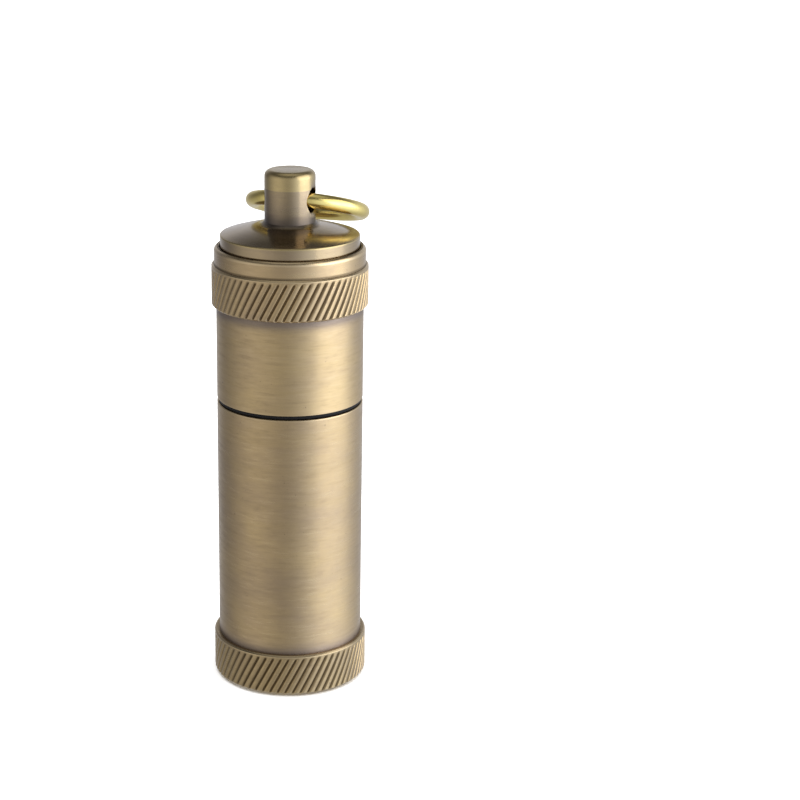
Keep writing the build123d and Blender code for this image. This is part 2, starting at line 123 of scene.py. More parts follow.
def bandRows(radius, foot, chamfer, knurl):
    rows = []
    for row in range(bandShape["chamferRows"] + 1):
        share = row / bandShape["chamferRows"]
        rows.append((radius - chamfer * (1 - share), foot + chamfer * share, bandShape["chamferWear"]))
    start = foot + chamfer + bandShape["wallGap"]
    count = math.ceil((knurl["end"] - start) / knurl["rowStep"])
    for row in range(count + 1):
        share = row / count
        eased = share + math.sin(math.pi * share) / math.pi * bandShape["ease"] * share
        rows.append((radius, start + (knurl["end"] - start) * min(1.0, eased), 0.0))
    return rows


def smoothStep(value):
    value = min(1.0, max(0.0, value))
    return value * value * (3 - 2 * value)


# spins an outline round Z; a knurl leans its columns over and sinks its grooves
def lathe(name, outline, closed=False, columns=160, knurl=None, core=None):
    mesh = bmesh.new()
    wear = mesh.verts.layers.float.new("wear")
    recess = mesh.verts.layers.float.new("recess")
    shares = [(column / columns, 0.0) for column in range(columns)]
    if knurl:
        cuts = knurl["section"]
        shares = [((g + at) / knurl["count"], sunk) for g in range(knurl["count"]) for at, sunk in cuts]
    rings = []
    for radius, height, worn, *paintedShade in outline:
        if radius < 1e-6:
            rings.append([mesh.verts.new((0, 0, height))])
            continue
        lean = 0.0
        fade = 0.0
        if knurl:
            level = min(knurl["end"], max(knurl["start"], height))
            lean = (level - knurl["start"]) / math.tan(math.radians(knurl["angle"])) / knurl["radius"]
            fade = smoothStep((knurl["end"] - level) / knurl["runOut"])
            fade *= smoothStep((level - knurl["start"]) / knurl["runOut"]) if knurl["closedFoot"] else 1.0
        ring = []
        for share, sunk in shares:
            turn = 2 * math.pi * share + lean
            depth = knurl["depth"] * sunk * fade if knurl else 0.0
            reach = min(radius, knurl["radius"] - depth) if depth else radius
            vertex = mesh.verts.new((reach * math.cos(turn), reach * math.sin(turn), height))
            vertex[wear] = worn
            # recess holds painted shade: the outline's given amount, or how deep the knurl groove sinks
            vertex[recess] = max(sum(paintedShade), (radius - reach) / knurl["depth"] if knurl else 0.0)
            ring.append(vertex)
        rings.append(ring)
    pairs = list(zip(rings, rings[1:]))
    if closed:
        pairs.append((rings[-1], rings[0]))
    for under, over in pairs:
        for i in range(max(len(under), len(over))):
            j = (i + 1) % max(len(under), len(over))
            if len(under) == 1:
                mesh.faces.new((under[0], over[j], over[i]))
            elif len(over) == 1:
                mesh.faces.new((under[i], under[j], over[0]))
            else:
                mesh.faces.new((under[i], under[j], over[j], over[i]))
    bmesh.ops.recalc_face_normals(mesh, faces=mesh.faces)
    return pieceFrom(mesh, name, core)


# turns a bmesh in mm into an object in metres, smooth but for its sharp edges
def pieceFrom(mesh, name, place=None, sharp=32):
    data = bpy.data.meshes.new(name)
    mesh.to_mesh(data)
    mesh.free()
    data.transform(Matrix.Scale(mm, 4))
    data.shade_smooth()
    data.set_sharp_from_angle(angle=math.radians(sharp))
    piece = bpy.data.objects.new(name, data)
    bpy.context.scene.collection.objects.link(piece)
    if place:
        piece.matrix_world = place
    return piece


# faces from ring to ring, and one over each end
def skinRings(mesh, rings):
    sides = len(rings[0])
    for under, over in zip(rings, rings[1:]):
        for k in range(sides):
            mesh.faces.new((under[k], under[(k + 1) % sides], over[(k + 1) % sides], over[k]))
    mesh.faces.new(rings[0][::-1])
    mesh.faces.new(rings[-1])


# a tube of changing thickness along points; outward fixes which way its section faces
def sweepTube(mesh, points, radii, sides=8, outward=None, squash=1.0, layers=()):
    rings = []
    side = None
    for index, point in enumerate(points):
        along = (points[min(index + 1, len(points) - 1)] - points[max(index - 1, 0)]).normalized()
        if outward:
            up = outward(point)
        elif side:
            up = side
        else:
            up = along.orthogonal()
        up = (up - along * up.dot(along)).normalized()
        side = up
        across = along.cross(up)
        ring = []
        for k in range(sides):
            turn = 2 * math.pi * k / sides
            offset = up * math.cos(turn) * squash + across * math.sin(turn)
            vertex = mesh.verts.new(point + offset * radii[index])
            for layer, value in layers:
                vertex[layer] = value(point)
            ring.append(vertex)
        rings.append(ring)
    skinRings(mesh, rings)


# one screw ridge on a wall, running out to nothing at both ends
def threadRidge(name, thread, wall, crest, startZ, lowZ, highZ):
    mesh = bmesh.new()
    recess = mesh.verts.layers.float.new("recess")
    depth = crest - wall
    bury = -thread["bury"] if depth > 0 else thread["bury"]
    footHalf = thread["crest"] / 2 + abs(depth) * thread["slope"]
    section = [(bury, footHalf)]
    for rise, width, share in thread["flank"]:
        section.append((depth * rise, (footHalf if width == "foot" else thread["crest"]) * share))
    section = [(out, -half) for out, half in section] + [(out, half) for out, half in reversed(section)]
    firstTurn = (lowZ + footHalf - startZ) / thread["pitch"]
    lastTurn = (highZ - footHalf - startZ) / thread["pitch"]
    count = round((lastTurn - firstTurn) * thread["steps"])
    rings = []
    for step in range(count + 1):
        turns = firstTurn + (lastTurn - firstTurn) * step / count
        fade = smoothStep(min(step, count - step) / (thread["steps"] * thread["runOut"]))
        turn = 2 * math.pi * turns
        ring = []
        for out, rise in section:
            reach = wall + (out if out == bury else bury + (out - bury) * fade)
            point = (reach * math.cos(turn), reach * math.sin(turn), startZ + thread["pitch"] * turns + rise)
            vertex = mesh.verts.new(point)
            # recess is painted shade, full at the thread's root and none at its crest
            vertex[recess] = 1 - abs(out / depth) if out != bury else 1.0
            ring.append(vertex)
        rings.append(ring)
    skinRings(mesh, rings)
    bmesh.ops.recalc_face_normals(mesh, faces=mesh.faces)
    return pieceFrom(mesh, name)


# joins pieces into the first one
def join(first, *others):
    with bpy.context.temp_override(active_object=first, selected_editable_objects=[first, *others]):
        bpy.ops.object.join()
    return first


# applies whatever modifiers a piece has
def settle(piece):
    bpy.context.view_layer.update()
    ready = piece.evaluated_get(bpy.context.evaluated_depsgraph_get())
    data = bpy.data.meshes.new_from_object(ready)
    piece.modifiers.clear()
    piece.data = data


# cuts pieces out of a piece, or keeps what they share, and removes them
def cutAway(piece, *cutters, operation="DIFFERENCE"):
    for cutter in cutters:
        cut = piece.modifiers.new("cut", "BOOLEAN")
        cut.object = cutter
        cut.operation = operation
        cut.solver = "EXACT"
        settle(piece)
        bpy.data.objects.remove(cutter)


def softenEdges(piece, width, angle=35, segments=2, sharp=40):
    bevel = piece.modifiers.new("soft edges", "BEVEL")
    bevel.width = width * mm
    bevel.segments = segments
    bevel.limit_method = "ANGLE"
    bevel.angle_limit = math.radians(angle)
    settle(piece)
    piece.data.shade_smooth()
    piece.data.set_sharp_from_angle(angle=math.radians(sharp))


# material nodes
def newMaterial(name):
    material = bpy.data.materials.new(name)
    material.use_nodes = True
    return material, material.node_tree, material.node_tree.nodes["Principled BSDF"]


def give(tree, socket, value):
    if isinstance(value, bpy.types.NodeSocket):
        tree.links.new(value, socket)
    else:
        socket.default_value = value


def sumOf(tree, operation, first, second=0.0, third=0.0, clamp=False):
    node = tree.nodes.new("ShaderNodeMath")
    node.operation = operation
    node.use_clamp = clamp
    for socket, value in zip(node.inputs, (first, second, third)):
        give(tree, socket, value)
    return node.outputs[0]


def blend(tree, amount, first, second, mode="MIX"):
    node = tree.nodes.new("ShaderNodeMix")
    node.data_type = "RGBA"
    node.blend_type = mode
    give(tree, node.inputs["Factor"], amount)
    for name, value in (("A", first), ("B", second)):
        socket = next(s for s in node.inputs if s.name == name and s.type == "RGBA")
        give(tree, socket, value if isinstance(value, bpy.types.NodeSocket) else (*value[:3], 1))
    return next(s for s in node.outputs if s.type == "RGBA")


def between(tree, value, start, end, first=0.0, last=1.0):
    node = tree.nodes.new("ShaderNodeMapRange")
    give(tree, node.inputs["Value"], value)
    for name, number in (("From Min", start), ("From Max", end), ("To Min", first), ("To Max", last)):
        node.inputs[name].default_value = number
    return node.outputs["Result"]


def grainAt(tree, vector, scale, detail=3.0, roughness=0.55):
    node = tree.nodes.new("ShaderNodeTexNoise")
    give(tree, node.inputs["Vector"], vector)
    node.inputs["Scale"].default_value = scale
    node.inputs["Detail"].default_value = detail
    node.inputs["Roughness"].default_value = roughness
    return node.outputs[0]


def ownPlace(tree):
    return tree.nodes.new("ShaderNodeTexCoord").outputs["Object"]


def painted(tree, name):
    node = tree.nodes.new("ShaderNodeAttribute")
    node.attribute_name = name
    return node.outputs["Fac"]


# a vector that changes slowly round the axis, and fast along it and away from it
def latheMarks(tree, lengthways, finely):
    split = tree.nodes.new("ShaderNodeSeparateXYZ")
    give(tree, split.inputs[0], ownPlace(tree))
    x, y, z = split.outputs
    squared = [sumOf(tree, "MULTIPLY", side, side) for side in (x, y)]
    reach = sumOf(tree, "MAXIMUM", sumOf(tree, "SQRT", sumOf(tree, "ADD", *squared)), 1e-5)
    together = tree.nodes.new("ShaderNodeCombineXYZ")
    for socket, side in zip(together.inputs, (x, y)):
        give(tree, socket, sumOf(tree, "MULTIPLY", sumOf(tree, "DIVIDE", side, reach), lengthways))
    give(tree, together.inputs[2], sumOf(tree, "MULTIPLY", sumOf(tree, "ADD", reach, z), finely))
    return together.outputs[0]


def bumpFrom(tree, height, strength, depth, under=None):
    node = tree.nodes.new("ShaderNodeBump")
    node.inputs["Strength"].default_value = strength
    node.inputs["Distance"].default_value = depth * mm
    give(tree, node.inputs["Height"], height)
    if under:
        give(tree, node.inputs["Normal"], under)
    return node.outputs[0]


# three grains of turning marks: share of the length, share of the fineness, detail, roughness
markGrains = ((1.0, 1.0, 4.0, 0.65), (1.7, 0.3, 5.0, 0.75), (0.45, 0.12, 2.0, 0.55))


# brass with turning marks round it, patina in clouds, painted shade in hollows and at joins between parts,
# and bright worn edges
def turnedMetal(name, look):
    material, tree, shader = newMaterial(name)
    grains = []
    for long, fine, detail, roughness in markGrains:
        place = latheMarks(tree, look["markLength"] * long, look["markFineness"] * fine)
        grains.append(grainAt(tree, place, 1.0, detail, roughness))
    marks, streaks, broad = grains
    clouds = grainAt(tree, ownPlace(tree), look["clouds"], 4.0, 0.6)
    specks = grainAt(tree, ownPlace(tree), look["pits"], 2.0, 0.5)
    colour = blend(tree, between(tree, clouds, 0.35, 0.68), look["colour"], look["patina"])
    colour = blend(tree, between(tree, broad, 0.45, 0.7, 0.0, look["markTone"]), colour, look["warm"])
    colour = blend(tree, between(tree, streaks, 0.52, 0.68, 0.0, look["streakTone"]), colour, look["dark"])
    colour = blend(tree, between(tree, streaks, 0.48, 0.34, 0.0, look["streakTone"]), colour, look["bright"])
    colour = blend(tree, between(tree, marks, 0.38, 0.66, 0.0, look["markTone"]), colour, look["patina"])
    colour = blend(tree, sumOf(tree, "MULTIPLY", painted(tree, "wear"), look["wear"]), colour, look["bright"])
    colour = blend(tree, between(tree, specks, 0.73, 0.78, 0.0, look["pitTone"]), colour, look["dark"])
    # painted shade: the recess value darkens the colour in grooves, thread roots, the crown's recess, joins
    # between parts and the post's foot
    hollow = between(tree, painted(tree, "recess"), look["hollowFrom"], look["hollowAt"], 0.0, look["hollow"])
    colour = blend(tree, hollow, colour, look["paintedShade"])
    give(tree, shader.inputs["Base Color"], colour)
    shader.inputs["Metallic"].default_value = 1.0
    smooth, coarse = look["rough"] - look["roughSwing"], look["rough"] + look["roughSwing"]
    rough = between(tree, streaks, 0.35, 0.65, smooth, coarse)
    rough = sumOf(tree, "MULTIPLY_ADD", painted(tree, "wear"), look["wornRough"], rough)
    give(tree, shader.inputs["Roughness"], sumOf(tree, "MULTIPLY_ADD", hollow, look["hollowRough"], rough))
    if look["stretch"]:
        shader.inputs["Anisotropic"].default_value = look["stretch"]
        shader.inputs["Anisotropic Rotation"].default_value = 0.25
        tangent = tree.nodes.new("ShaderNodeTangent")
        tangent.direction_type = "RADIAL"
        tangent.axis = "Z"
        tree.links.new(tangent.outputs[0], shader.inputs["Tangent"])
    shader.inputs["Coat Weight"].default_value = look["lacquer"]
    shader.inputs["Coat Roughness"].default_value = 0.3
    give(tree, shader.inputs["Normal"], bumpFrom(tree, marks, look["bump"], look["bumpDepth"]))
    return material


# antique brass; its darkest mauve-grey colour is painted shade for joins between parts
antiqueBrass = {
    "colour": (0.53, 0.39, 0.205), "patina": (0.42, 0.31, 0.19), "warm": (0.47, 0.345, 0.17),
    "bright": (0.70, 0.56, 0.35), "dark": (0.16, 0.115, 0.075), "paintedShade": (0.265, 0.215, 0.19),
    "clouds": 160.0, "markLength": 1.6, "markFineness": 9000.0, "markTone": 0.32, "streakTone": 0.16,
    "pits": 2300.0, "pitTone": 0.55, "wear": 0.35, "hollow": 0.9, "hollowFrom": 0.05, "hollowAt": 1.0,
    "rough": 0.34, "roughSwing": 0.08, "wornRough": 0.0, "hollowRough": 0.25, "stretch": 0.55, "bump": 0.06,
    "bumpDepth": 0.008, "lacquer": 0.35,
}
brushedBrass = turnedMetal("brushed antique brass", antiqueBrass)
capBrass = turnedMetal("brushed cap brass", {
    **antiqueBrass, "colour": (0.58, 0.43, 0.22), "patina": (0.47, 0.35, 0.205), "warm": (0.52, 0.385, 0.185),
    "clouds": 140.0, "rough": 0.38,
})
# knurled brass: its darkest colour is painted shade, laid in the groove bottoms by their depth
knurled = {
    **antiqueBrass, "paintedShade": (0.15, 0.105, 0.055), "hollow": 0.85, "hollowFrom": 0.2, "hollowAt": 0.95,
    "stretch": 0.2, "wear": 0.5, "markFineness": 7000.0, "streakTone": 0.12, "rough": 0.3,
}
knurledBrass = turnedMetal("knurled antique brass", knurled)
baseBrass = turnedMetal("knurled base brass", {
    **knurled, "colour": (0.46, 0.34, 0.17), "patina": (0.36, 0.265, 0.15), "warm": (0.41, 0.30, 0.145),
    "paintedShade": (0.12, 0.085, 0.042),
})
# turned brass: its darkest colour is painted shade, laid down the post towards its foot and in the dome's
# corner
polishedBrass = turnedMetal("turned antique brass", {
    **antiqueBrass, "colour": (0.43, 0.33, 0.19), "patina": (0.34, 0.26, 0.175), "warm": (0.40, 0.305, 0.155),
    "bright": (0.56, 0.44, 0.19), "paintedShade": (0.09, 0.074, 0.068), "wear": 0.55, "rough": 0.17,
    "roughSwing": 0.04, "wornRough": 0.13, "stretch": 0.5, "bump": 0.05, "markTone": 0.3, "streakTone": 0.12,
})
# darkened thread: its darkest colour is painted shade at the thread roots
threadBrass = turnedMetal("darkened thread", {
    **antiqueBrass, "colour": (0.25, 0.225, 0.19), "patina": (0.15, 0.135, 0.12), "warm": (0.22, 0.18, 0.14),
    "bright": (0.5, 0.45, 0.38), "paintedShade": (0.03, 0.027, 0.024), "hollow": 0.85, "hollowAt": 0.9,
    "rough": 0.36, "roughSwing": 0.1, "stretch": 0.3, "markTone": 0.5, "markLength": 5.0, "bump": 0.1,
    "lacquer": 0.0,
})
plainBrass = turnedMetal("plain brass", {
    **antiqueBrass, "colour": (0.70, 0.52, 0.25), "patina": (0.55, 0.40, 0.19), "warm": (0.62, 0.44, 0.2),
    "rough": 0.26, "roughSwing": 0.05, "stretch": 0.3, "lacquer": 0.0,
})
nickelPlate = turnedMetal("nickel plate", {
    **antiqueBrass, "colour": (0.80, 0.775, 0.74), "patina": (0.70, 0.67, 0.63), "warm": (0.74, 0.69, 0.62),
    "bright": (0.92, 0.9, 0.87), "dark": (0.3, 0.28, 0.26), "paintedShade": (0.08, 0.07, 0.06), "rough": 0.09,
    "roughSwing": 0.03, "stretch": 0.0, "bump": 0.03, "markTone": 0.12, "streakTone": 0.05, "pitTone": 0.2,
    "clouds": 260.0, "lacquer": 0.0,
})


# drawn brass wire: bright, with clouds of tone and faint rubbed marks
def wireMetal(name, look):
    material, tree, shader = newMaterial(name)
    rubs = grainAt(tree, ownPlace(tree), look["rubs"], 5.0, 0.7)
    clouds = grainAt(tree, ownPlace(tree), look["clouds"], 3.0)
    colour = blend(tree, between(tree, clouds, 0.35, 0.7), look["colour"], look["shade"])
    colour = blend(tree, between(tree, rubs, 0.55, 0.8, 0.0, 0.4), colour, look["dark"])
    give(tree, shader.inputs["Base Color"], colour)
    shader.inputs["Metallic"].default_value = 1.0
    rough = between(tree, rubs, 0.3, 0.75, look["rough"], look["rough"] + look["roughSwing"])
    give(tree, shader.inputs["Roughness"], rough)
    give(tree, shader.inputs["Normal"], bumpFrom(tree, rubs, look["bump"], look["bumpDepth"]))
    return material


ringBrass = wireMetal("polished yellow brass", {
    "colour": (0.88, 0.725, 0.27), "shade": (0.76, 0.60, 0.20), "dark": (0.44, 0.33, 0.11),
    "rubs": 2600.0, "clouds": 260.0, "rough": 0.16, "roughSwing": 0.13, "bump": 0.06, "bumpDepth": 0.01,
})
springSteel = wireMetal("spring wire", {
    "colour": (0.55, 0.55, 0.54), "shade": (0.46, 0.46, 0.46), "dark": (0.25, 0.25, 0.26),
    "rubs": 4200.0, "clouds": 500.0, "rough": 0.26, "roughSwing": 0.13, "bump": 0.06, "bumpDepth": 0.01,
})
# dark steel: its darkest colour is painted shade in the bottoms of the wheel's teeth
blackSteel = turnedMetal("hardened dark steel", {
    **antiqueBrass, "colour": (0.17, 0.17, 0.175), "patina": (0.10, 0.10, 0.105), "warm": (0.15, 0.14, 0.13),
    "bright": (0.42, 0.42, 0.42), "dark": (0.025, 0.024, 0.023), "paintedShade": (0.025, 0.024, 0.023),
    "hollow": 0.85, "hollowAt": 0.8, "wear": 0.7, "rough": 0.38, "roughSwing": 0.05, "stretch": 0.0,
    "clouds": 900.0, "markTone": 0.4, "lacquer": 0.0,
})


# plain mottled surfaces: rubber, felt, cotton, flint, nylon
def mottled(name, look, roughSwing=0.06):
    material, tree, shader = newMaterial(name)
    specks = grainAt(tree, ownPlace(tree), look["specks"], 5.0, 0.65)
    clouds = grainAt(tree, ownPlace(tree), look["clouds"], 3.0)
    colour = blend(tree, between(tree, clouds, 0.35, 0.68), look["colour"], look["shade"])
    colour = blend(tree, between(tree, specks, 0.5, 0.75, 0.0, look["speckTone"]), colour, look["dark"])
    if "charred" in look:
        burnt = sumOf(tree, "MULTIPLY", painted(tree, "char"), between(tree, specks, 0.3, 0.6, 0.55, 1.0))
        colour = blend(tree, between(tree, burnt, 0.05, 0.75), colour, look["singed"])
        colour = blend(tree, between(tree, burnt, 0.6, 1.0, 0.0, 0.8), colour, look["charred"])
    give(tree, shader.inputs["Base Color"], colour)
    shader.inputs["Metallic"].default_value = look.get("metallic", 0.0)
    rough = between(tree, specks, 0.3, 0.7, look["rough"] - roughSwing, look["rough"] + roughSwing)
    give(tree, shader.inputs["Roughness"], rough)
    shader.inputs["Specular IOR Level"].default_value = look.get("gloss", 0.5)
    if "sheen" in look:
        shader.inputs["Sheen Weight"].default_value = look["sheen"]
        shader.inputs["Sheen Roughness"].default_value = 0.5
    if "glow" in look:
        shader.inputs["Subsurface Weight"].default_value = look["glow"]
        shader.inputs["Subsurface Radius"].default_value = (0.0006, 0.0005, 0.0004)
    give(tree, shader.inputs["Normal"], bumpFrom(tree, specks, look["bump"], look["bumpDepth"]))
    return material


sealRubber = mottled("black seal rubber", {
    "colour": (0.005, 0.0045, 0.005), "shade": (0.008, 0.0075, 0.008), "dark": (0.02, 0.018, 0.02),
    "specks": 3800.0, "clouds": 300.0, "speckTone": 0.15, "rough": 0.42, "gloss": 0.14,
    "bump": 0.1, "bumpDepth": 0.02,
})
wickCotton = mottled("braided wick cotton", {
    "colour": (0.80, 0.70, 0.55), "shade": (0.71, 0.60, 0.45), "dark": (0.52, 0.41, 0.28),
    "singed": (0.34, 0.20, 0.10), "charred": (0.035, 0.025, 0.02),
    "specks": 5200.0, "clouds": 700.0, "speckTone": 0.45, "rough": 0.9, "sheen": 0.35, "glow": 0.12,
    "bump": 0.5, "bumpDepth": 0.04,
})
whiteWadding = mottled("white cotton wadding", {
    "colour": (0.86, 0.85, 0.82), "shade": (0.78, 0.76, 0.71), "dark": (0.6, 0.57, 0.5),
    "specks": 2600.0, "clouds": 350.0, "speckTone": 0.3, "rough": 0.95, "sheen": 0.5, "glow": 0.2,
    "bump": 0.7, "bumpDepth": 0.15,
})
woolFelt = mottled("dense wool felt", {
    "colour": (0.66, 0.61, 0.52), "shade": (0.55, 0.50, 0.42), "dark": (0.36, 0.32, 0.26),
    "specks": 4200.0, "clouds": 600.0, "speckTone": 0.5, "rough": 0.93, "sheen": 0.4,
    "bump": 0.6, "bumpDepth": 0.08,
})
flintRod = mottled("ferrocerium", {
    "colour": (0.16, 0.155, 0.15), "shade": (0.11, 0.105, 0.10), "dark": (0.05, 0.045, 0.04), "metallic": 1.0,
    "specks": 3000.0, "clouds": 800.0, "speckTone": 0.6, "rough": 0.6, "bump": 0.3, "bumpDepth": 0.03,
})
washerNylon = mottled("smoked nylon", {
    "colour": (0.10, 0.095, 0.085), "shade": (0.075, 0.07, 0.065), "dark": (0.05, 0.048, 0.045),
    "specks": 3000.0, "clouds": 500.0, "speckTone": 0.3, "rough": 0.45, "bump": 0.1, "bumpDepth": 0.02,
})
print("materials made")


# gives a piece its material and its body, and hides the nodes that it stands for
def fit(piece, material, body, slotName, *nodes):
    piece.data.materials.clear()
    piece.data.materials.append(material)
    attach(piece, body)
    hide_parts(*nodes)
    return piece


# tank: tube, knurled base
# painted shade on the tube, strongest where it meets the base cup and gone 1.5 mm above it; rows are height
# above the cup and shade
bodyTube = {"wall": 1.0, "lip": 0.1, "paintedShade": ((0.0, 1.0), (0.35, 0.7), (0.8, 0.25), (1.5, 0.0))}
tubeRadius = radiusOf("body_tube")
tubeLow, tubeHigh = low("body_tube").z, high("body_tube").z
tubeBore = tubeRadius - bodyTube["wall"]
baseHigh = high("base_cup").z
fit(lathe("bodyTube", turnedOutline([
    (tubeRadius, tubeLow, bodyTube["lip"]),
    *[(tubeRadius, baseHigh + rise, 0, paintedShade) for rise, paintedShade in bodyTube["paintedShade"]],
    (tubeRadius, tubeHigh, bodyTube["lip"]),
    (tubeBore, tubeHigh, bodyTube["lip"]),
    (tubeBore, tubeLow, bodyTube["lip"]),
], closed=True), closed=True), brushedBrass, "tank", "brushed_brass", "body_tube")

# one groove's section: place round the pitch, share of the full depth, which also sets the painted shade in
# the groove
grooveSection = ((0.0, 0.0), (0.30, 0.0), (0.35, 0.08), (0.44, 0.5), (0.54, 0.94), (0.58, 1.0), (0.62, 0.94),
                 (0.72, 0.5), (0.81, 0.08), (0.86, 0.0))
diagonalKnurl = {"pitch": 0.835, "angle": 62.0, "depth": 0.2, "runOut": 0.3, "rowStep": 0.16,
                 "section": grooveSection, "closedFoot": False}


def bandKnurl(radius, start, end):
    count = round(2 * math.pi * radius / diagonalKnurl["pitch"])
    return {**diagonalKnurl, "radius": radius, "start": start, "end": end, "count": count}


baseCup = {"foot": 0.45, "footInset": 0.3, "margin": 0.26, "upperChamfer": 0.16, "edge": 0.05, "step": 0.04,
           "floor": 1.0}
baseRadius = radiusOf("base_cup")
baseKnurl = bandKnurl(baseRadius, 0, baseHigh - baseCup["margin"])
baseUpper = baseCup["upperChamfer"]
fit(lathe("baseCup", [
    (0, 0, 0.0),
    (baseRadius - baseCup["foot"] - baseCup["footInset"], 0, 0.0),
    *bandRows(baseRadius, 0, baseCup["foot"], baseKnurl),
    *turnedOutline([(baseRadius, baseKnurl["end"]), (baseRadius, baseHigh - baseUpper, baseCup["edge"]),
                    (baseRadius - baseUpper, baseHigh, baseCup["edge"]),
                    (tubeRadius, baseHigh, baseCup["step"]), (tubeRadius, baseCup["floor"]),
                    (0, baseCup["floor"])])[1:],
], knurl=baseKnurl), baseBrass, "tank", "knurled_brass", "base_cup")

# neck with its thread, and the seal
# a flank's points: share of the depth, then half its width as a share of the foot or of the crest
screwThread = {"pitch": 0.75, "crest": 0.12, "slope": 0.45, "gap": 0.1, "steps": 120, "runOut": 0.12,
               "bury": 0.04, "topGap": 0.05,
               "flank": ((0.15, "foot", 0.88), (0.85, "crest", 0.62), (1.0, "crest", 0.3))}
neck = {"bore": 6.15, "spigot": 6.75, "seat": 6.5, "root": 6.6, "threadStart": 32.35, "mouthRounding": 0.1}
neckLow, neckHigh = low("neck_sleeve").z, high("neck_sleeve").z
neckCrest = radiusOf("neck_sleeve")
neckBody = lathe("neckSleeve", turnedOutline([
    (neck["bore"], neckLow), (neck["spigot"], neckLow), (neck["spigot"], tubeHigh), (neck["seat"], tubeHigh),
    (neck["seat"], neck["threadStart"]), (neck["root"], neck["threadStart"]),
    (neck["root"], neckHigh, neck["mouthRounding"]), (neck["bore"], neckHigh, neck["mouthRounding"]),
], closed=True), closed=True)
neckThread = threadRidge("neckThread", screwThread, neck["root"], neckCrest,
                         neck["threadStart"] - screwThread["pitch"], neck["threadStart"],
                         neckHigh - screwThread["topGap"])
fit(join(neckBody, neckThread), threadBrass, "tank", "thread_steel", "neck_sleeve")

sealRing = {"edge": 0.17, "crown": 0.25, "crownInset": 0.46, "shoulder": 0.38}
sealLow, sealHigh, sealRadius = low("o_ring").z, high("o_ring").z, radiusOf("o_ring")
fit(lathe("sealRing", turnedOutline([
    (neck["seat"], sealLow),
    (sealRadius, sealLow, sealRing["edge"]),
    (sealRadius, sealLow + sealRing["shoulder"], sealRing["edge"]),
    (sealRadius - sealRing["crownInset"], sealHigh, sealRing["crown"]),
    (neck["seat"], sealHigh),
], closed=True), closed=True), sealRubber, "tank", "seal_rubber", "o_ring")
print("tank made")

# insert: rolled top with its plate
insertTop = {"plate": 0.4, "bandHeight": 1.25, "bandFoot": 0.08, "bandEdge": 0.12, "grooveHeight": 0.12,
             "grooveDepth": 0.18, "discInset": 0.12, "discFoot": 0.06, "roll": 0.22, "wickHole": 1.08,
             "tubeHole": 1.6}
topLow, plateZ, topRadius = low("insert_top").z, high("insert_top").z, radiusOf("insert_top")
canRadius = radiusOf("insert_can")
discRadius = topRadius - insertTop["discInset"]
bandTop = topLow + insertTop["bandHeight"]
grooveTop = bandTop + insertTop["grooveHeight"]
topPiece = lathe("insertTop", turnedOutline([
    (0, plateZ - insertTop["plate"]),
    (canRadius, plateZ - insertTop["plate"]),
    (canRadius, topLow),
    (topRadius, topLow, insertTop["bandFoot"]),
    (topRadius, bandTop, insertTop["bandEdge"]),
    (discRadius - insertTop["grooveDepth"], bandTop),
    (discRadius - insertTop["grooveDepth"], grooveTop),
    (discRadius, grooveTop, insertTop["discFoot"]),
    (discRadius, plateZ, insertTop["roll"]),
    (0, plateZ),
]))


# an upright round cutter
def peg(name, centre, radius, start, end):
    return lathe(name, [(0, start, 0), (radius, start, 0), (radius, end, 0), (0, end, 0)], columns=64,
                 core=Matrix.Translation(Vector((centre.x, centre.y, 0)) * mm))


cutAway(topPiece, peg("wickCut", middle("wick"), insertTop["wickHole"], topLow, plateZ + 1),
        peg("tubeCut", middle("flint_tube"), insertTop["tubeHole"], topLow, plateZ + 1))
topPiece.data.set_sharp_from_angle(angle=math.radians(32))
fit(topPiece, nickelPlate, "tank", "nickel", "insert_top")

# braided wick: two families of yarns that pass over and under each other, frayed at the tip
wickBraid = {"yarns": 8, "sides": 7, "lay": 5.6, "ripple": 0.1, "yarn": 0.2, "flat": 0.72, "step": 0.1,
             "footGap": 0.05, "tipGap": 0.35, "taper": 0.45, "taperLength": 0.5, "flare": 1.4,
             "opening": 0.16, "lean": (-0.32, -0.05), "leanLength": 3.2, "charLength": 1.9,
             "coreFoot": 0.1, "coreSides": 16,
             "core": ((3.0, 1.0), (1.5, 1.0), (0.9, 0.95), (0.55, 0.55))}
# single fibres that stand out of the cut end, and how far below the tip they start
wickFibres = {"count": 90, "sides": 4, "length": 0.9, "foot": (0.6, 1.1), "spread": 0.22, "draw": 0.9,
              "twist": 0.3, "tipGap": 0.02, "radii": (0.03, 0.028, 0.022, 0.012)}
wickLow, wickHigh = low("wick").z, high("wick").z
wickAxis = Vector((middle("wick").x, middle("wick").y, 0))
wickRadius = radiusOf("wick")
wickTurn = 2 * math.pi / wickBraid["lay"]


# how far the tip leans over and opens, at a height
def wickLean(z):
    lift = max(0.0, (z - (wickHigh - wickBraid["leanLength"])) / wickBraid["leanLength"])
    return Vector((wickBraid["lean"][0], wickBraid["lean"][1], 0)) * lift * lift


def wickOpen(z):
    return 1 + wickBraid["opening"] * smoothStep((z - (wickHigh - wickBraid["flare"])) / wickBraid["flare"])


wickMesh = bmesh.new()
wickChar = wickMesh.verts.layers.float.new("char")


def charAt(point):
    return smoothStep((point.z - (wickHigh - wickBraid["charLength"])) / wickBraid["charLength"])


def wickPoint(reach, turn, z):
    return wickAxis + wickLean(z) + Vector((reach * math.cos(turn), reach * math.sin(turn), z))


def wickOutward(point):
    away = point - wickAxis - wickLean(point.z)
    return Vector((away.x, away.y, 0)).normalized()


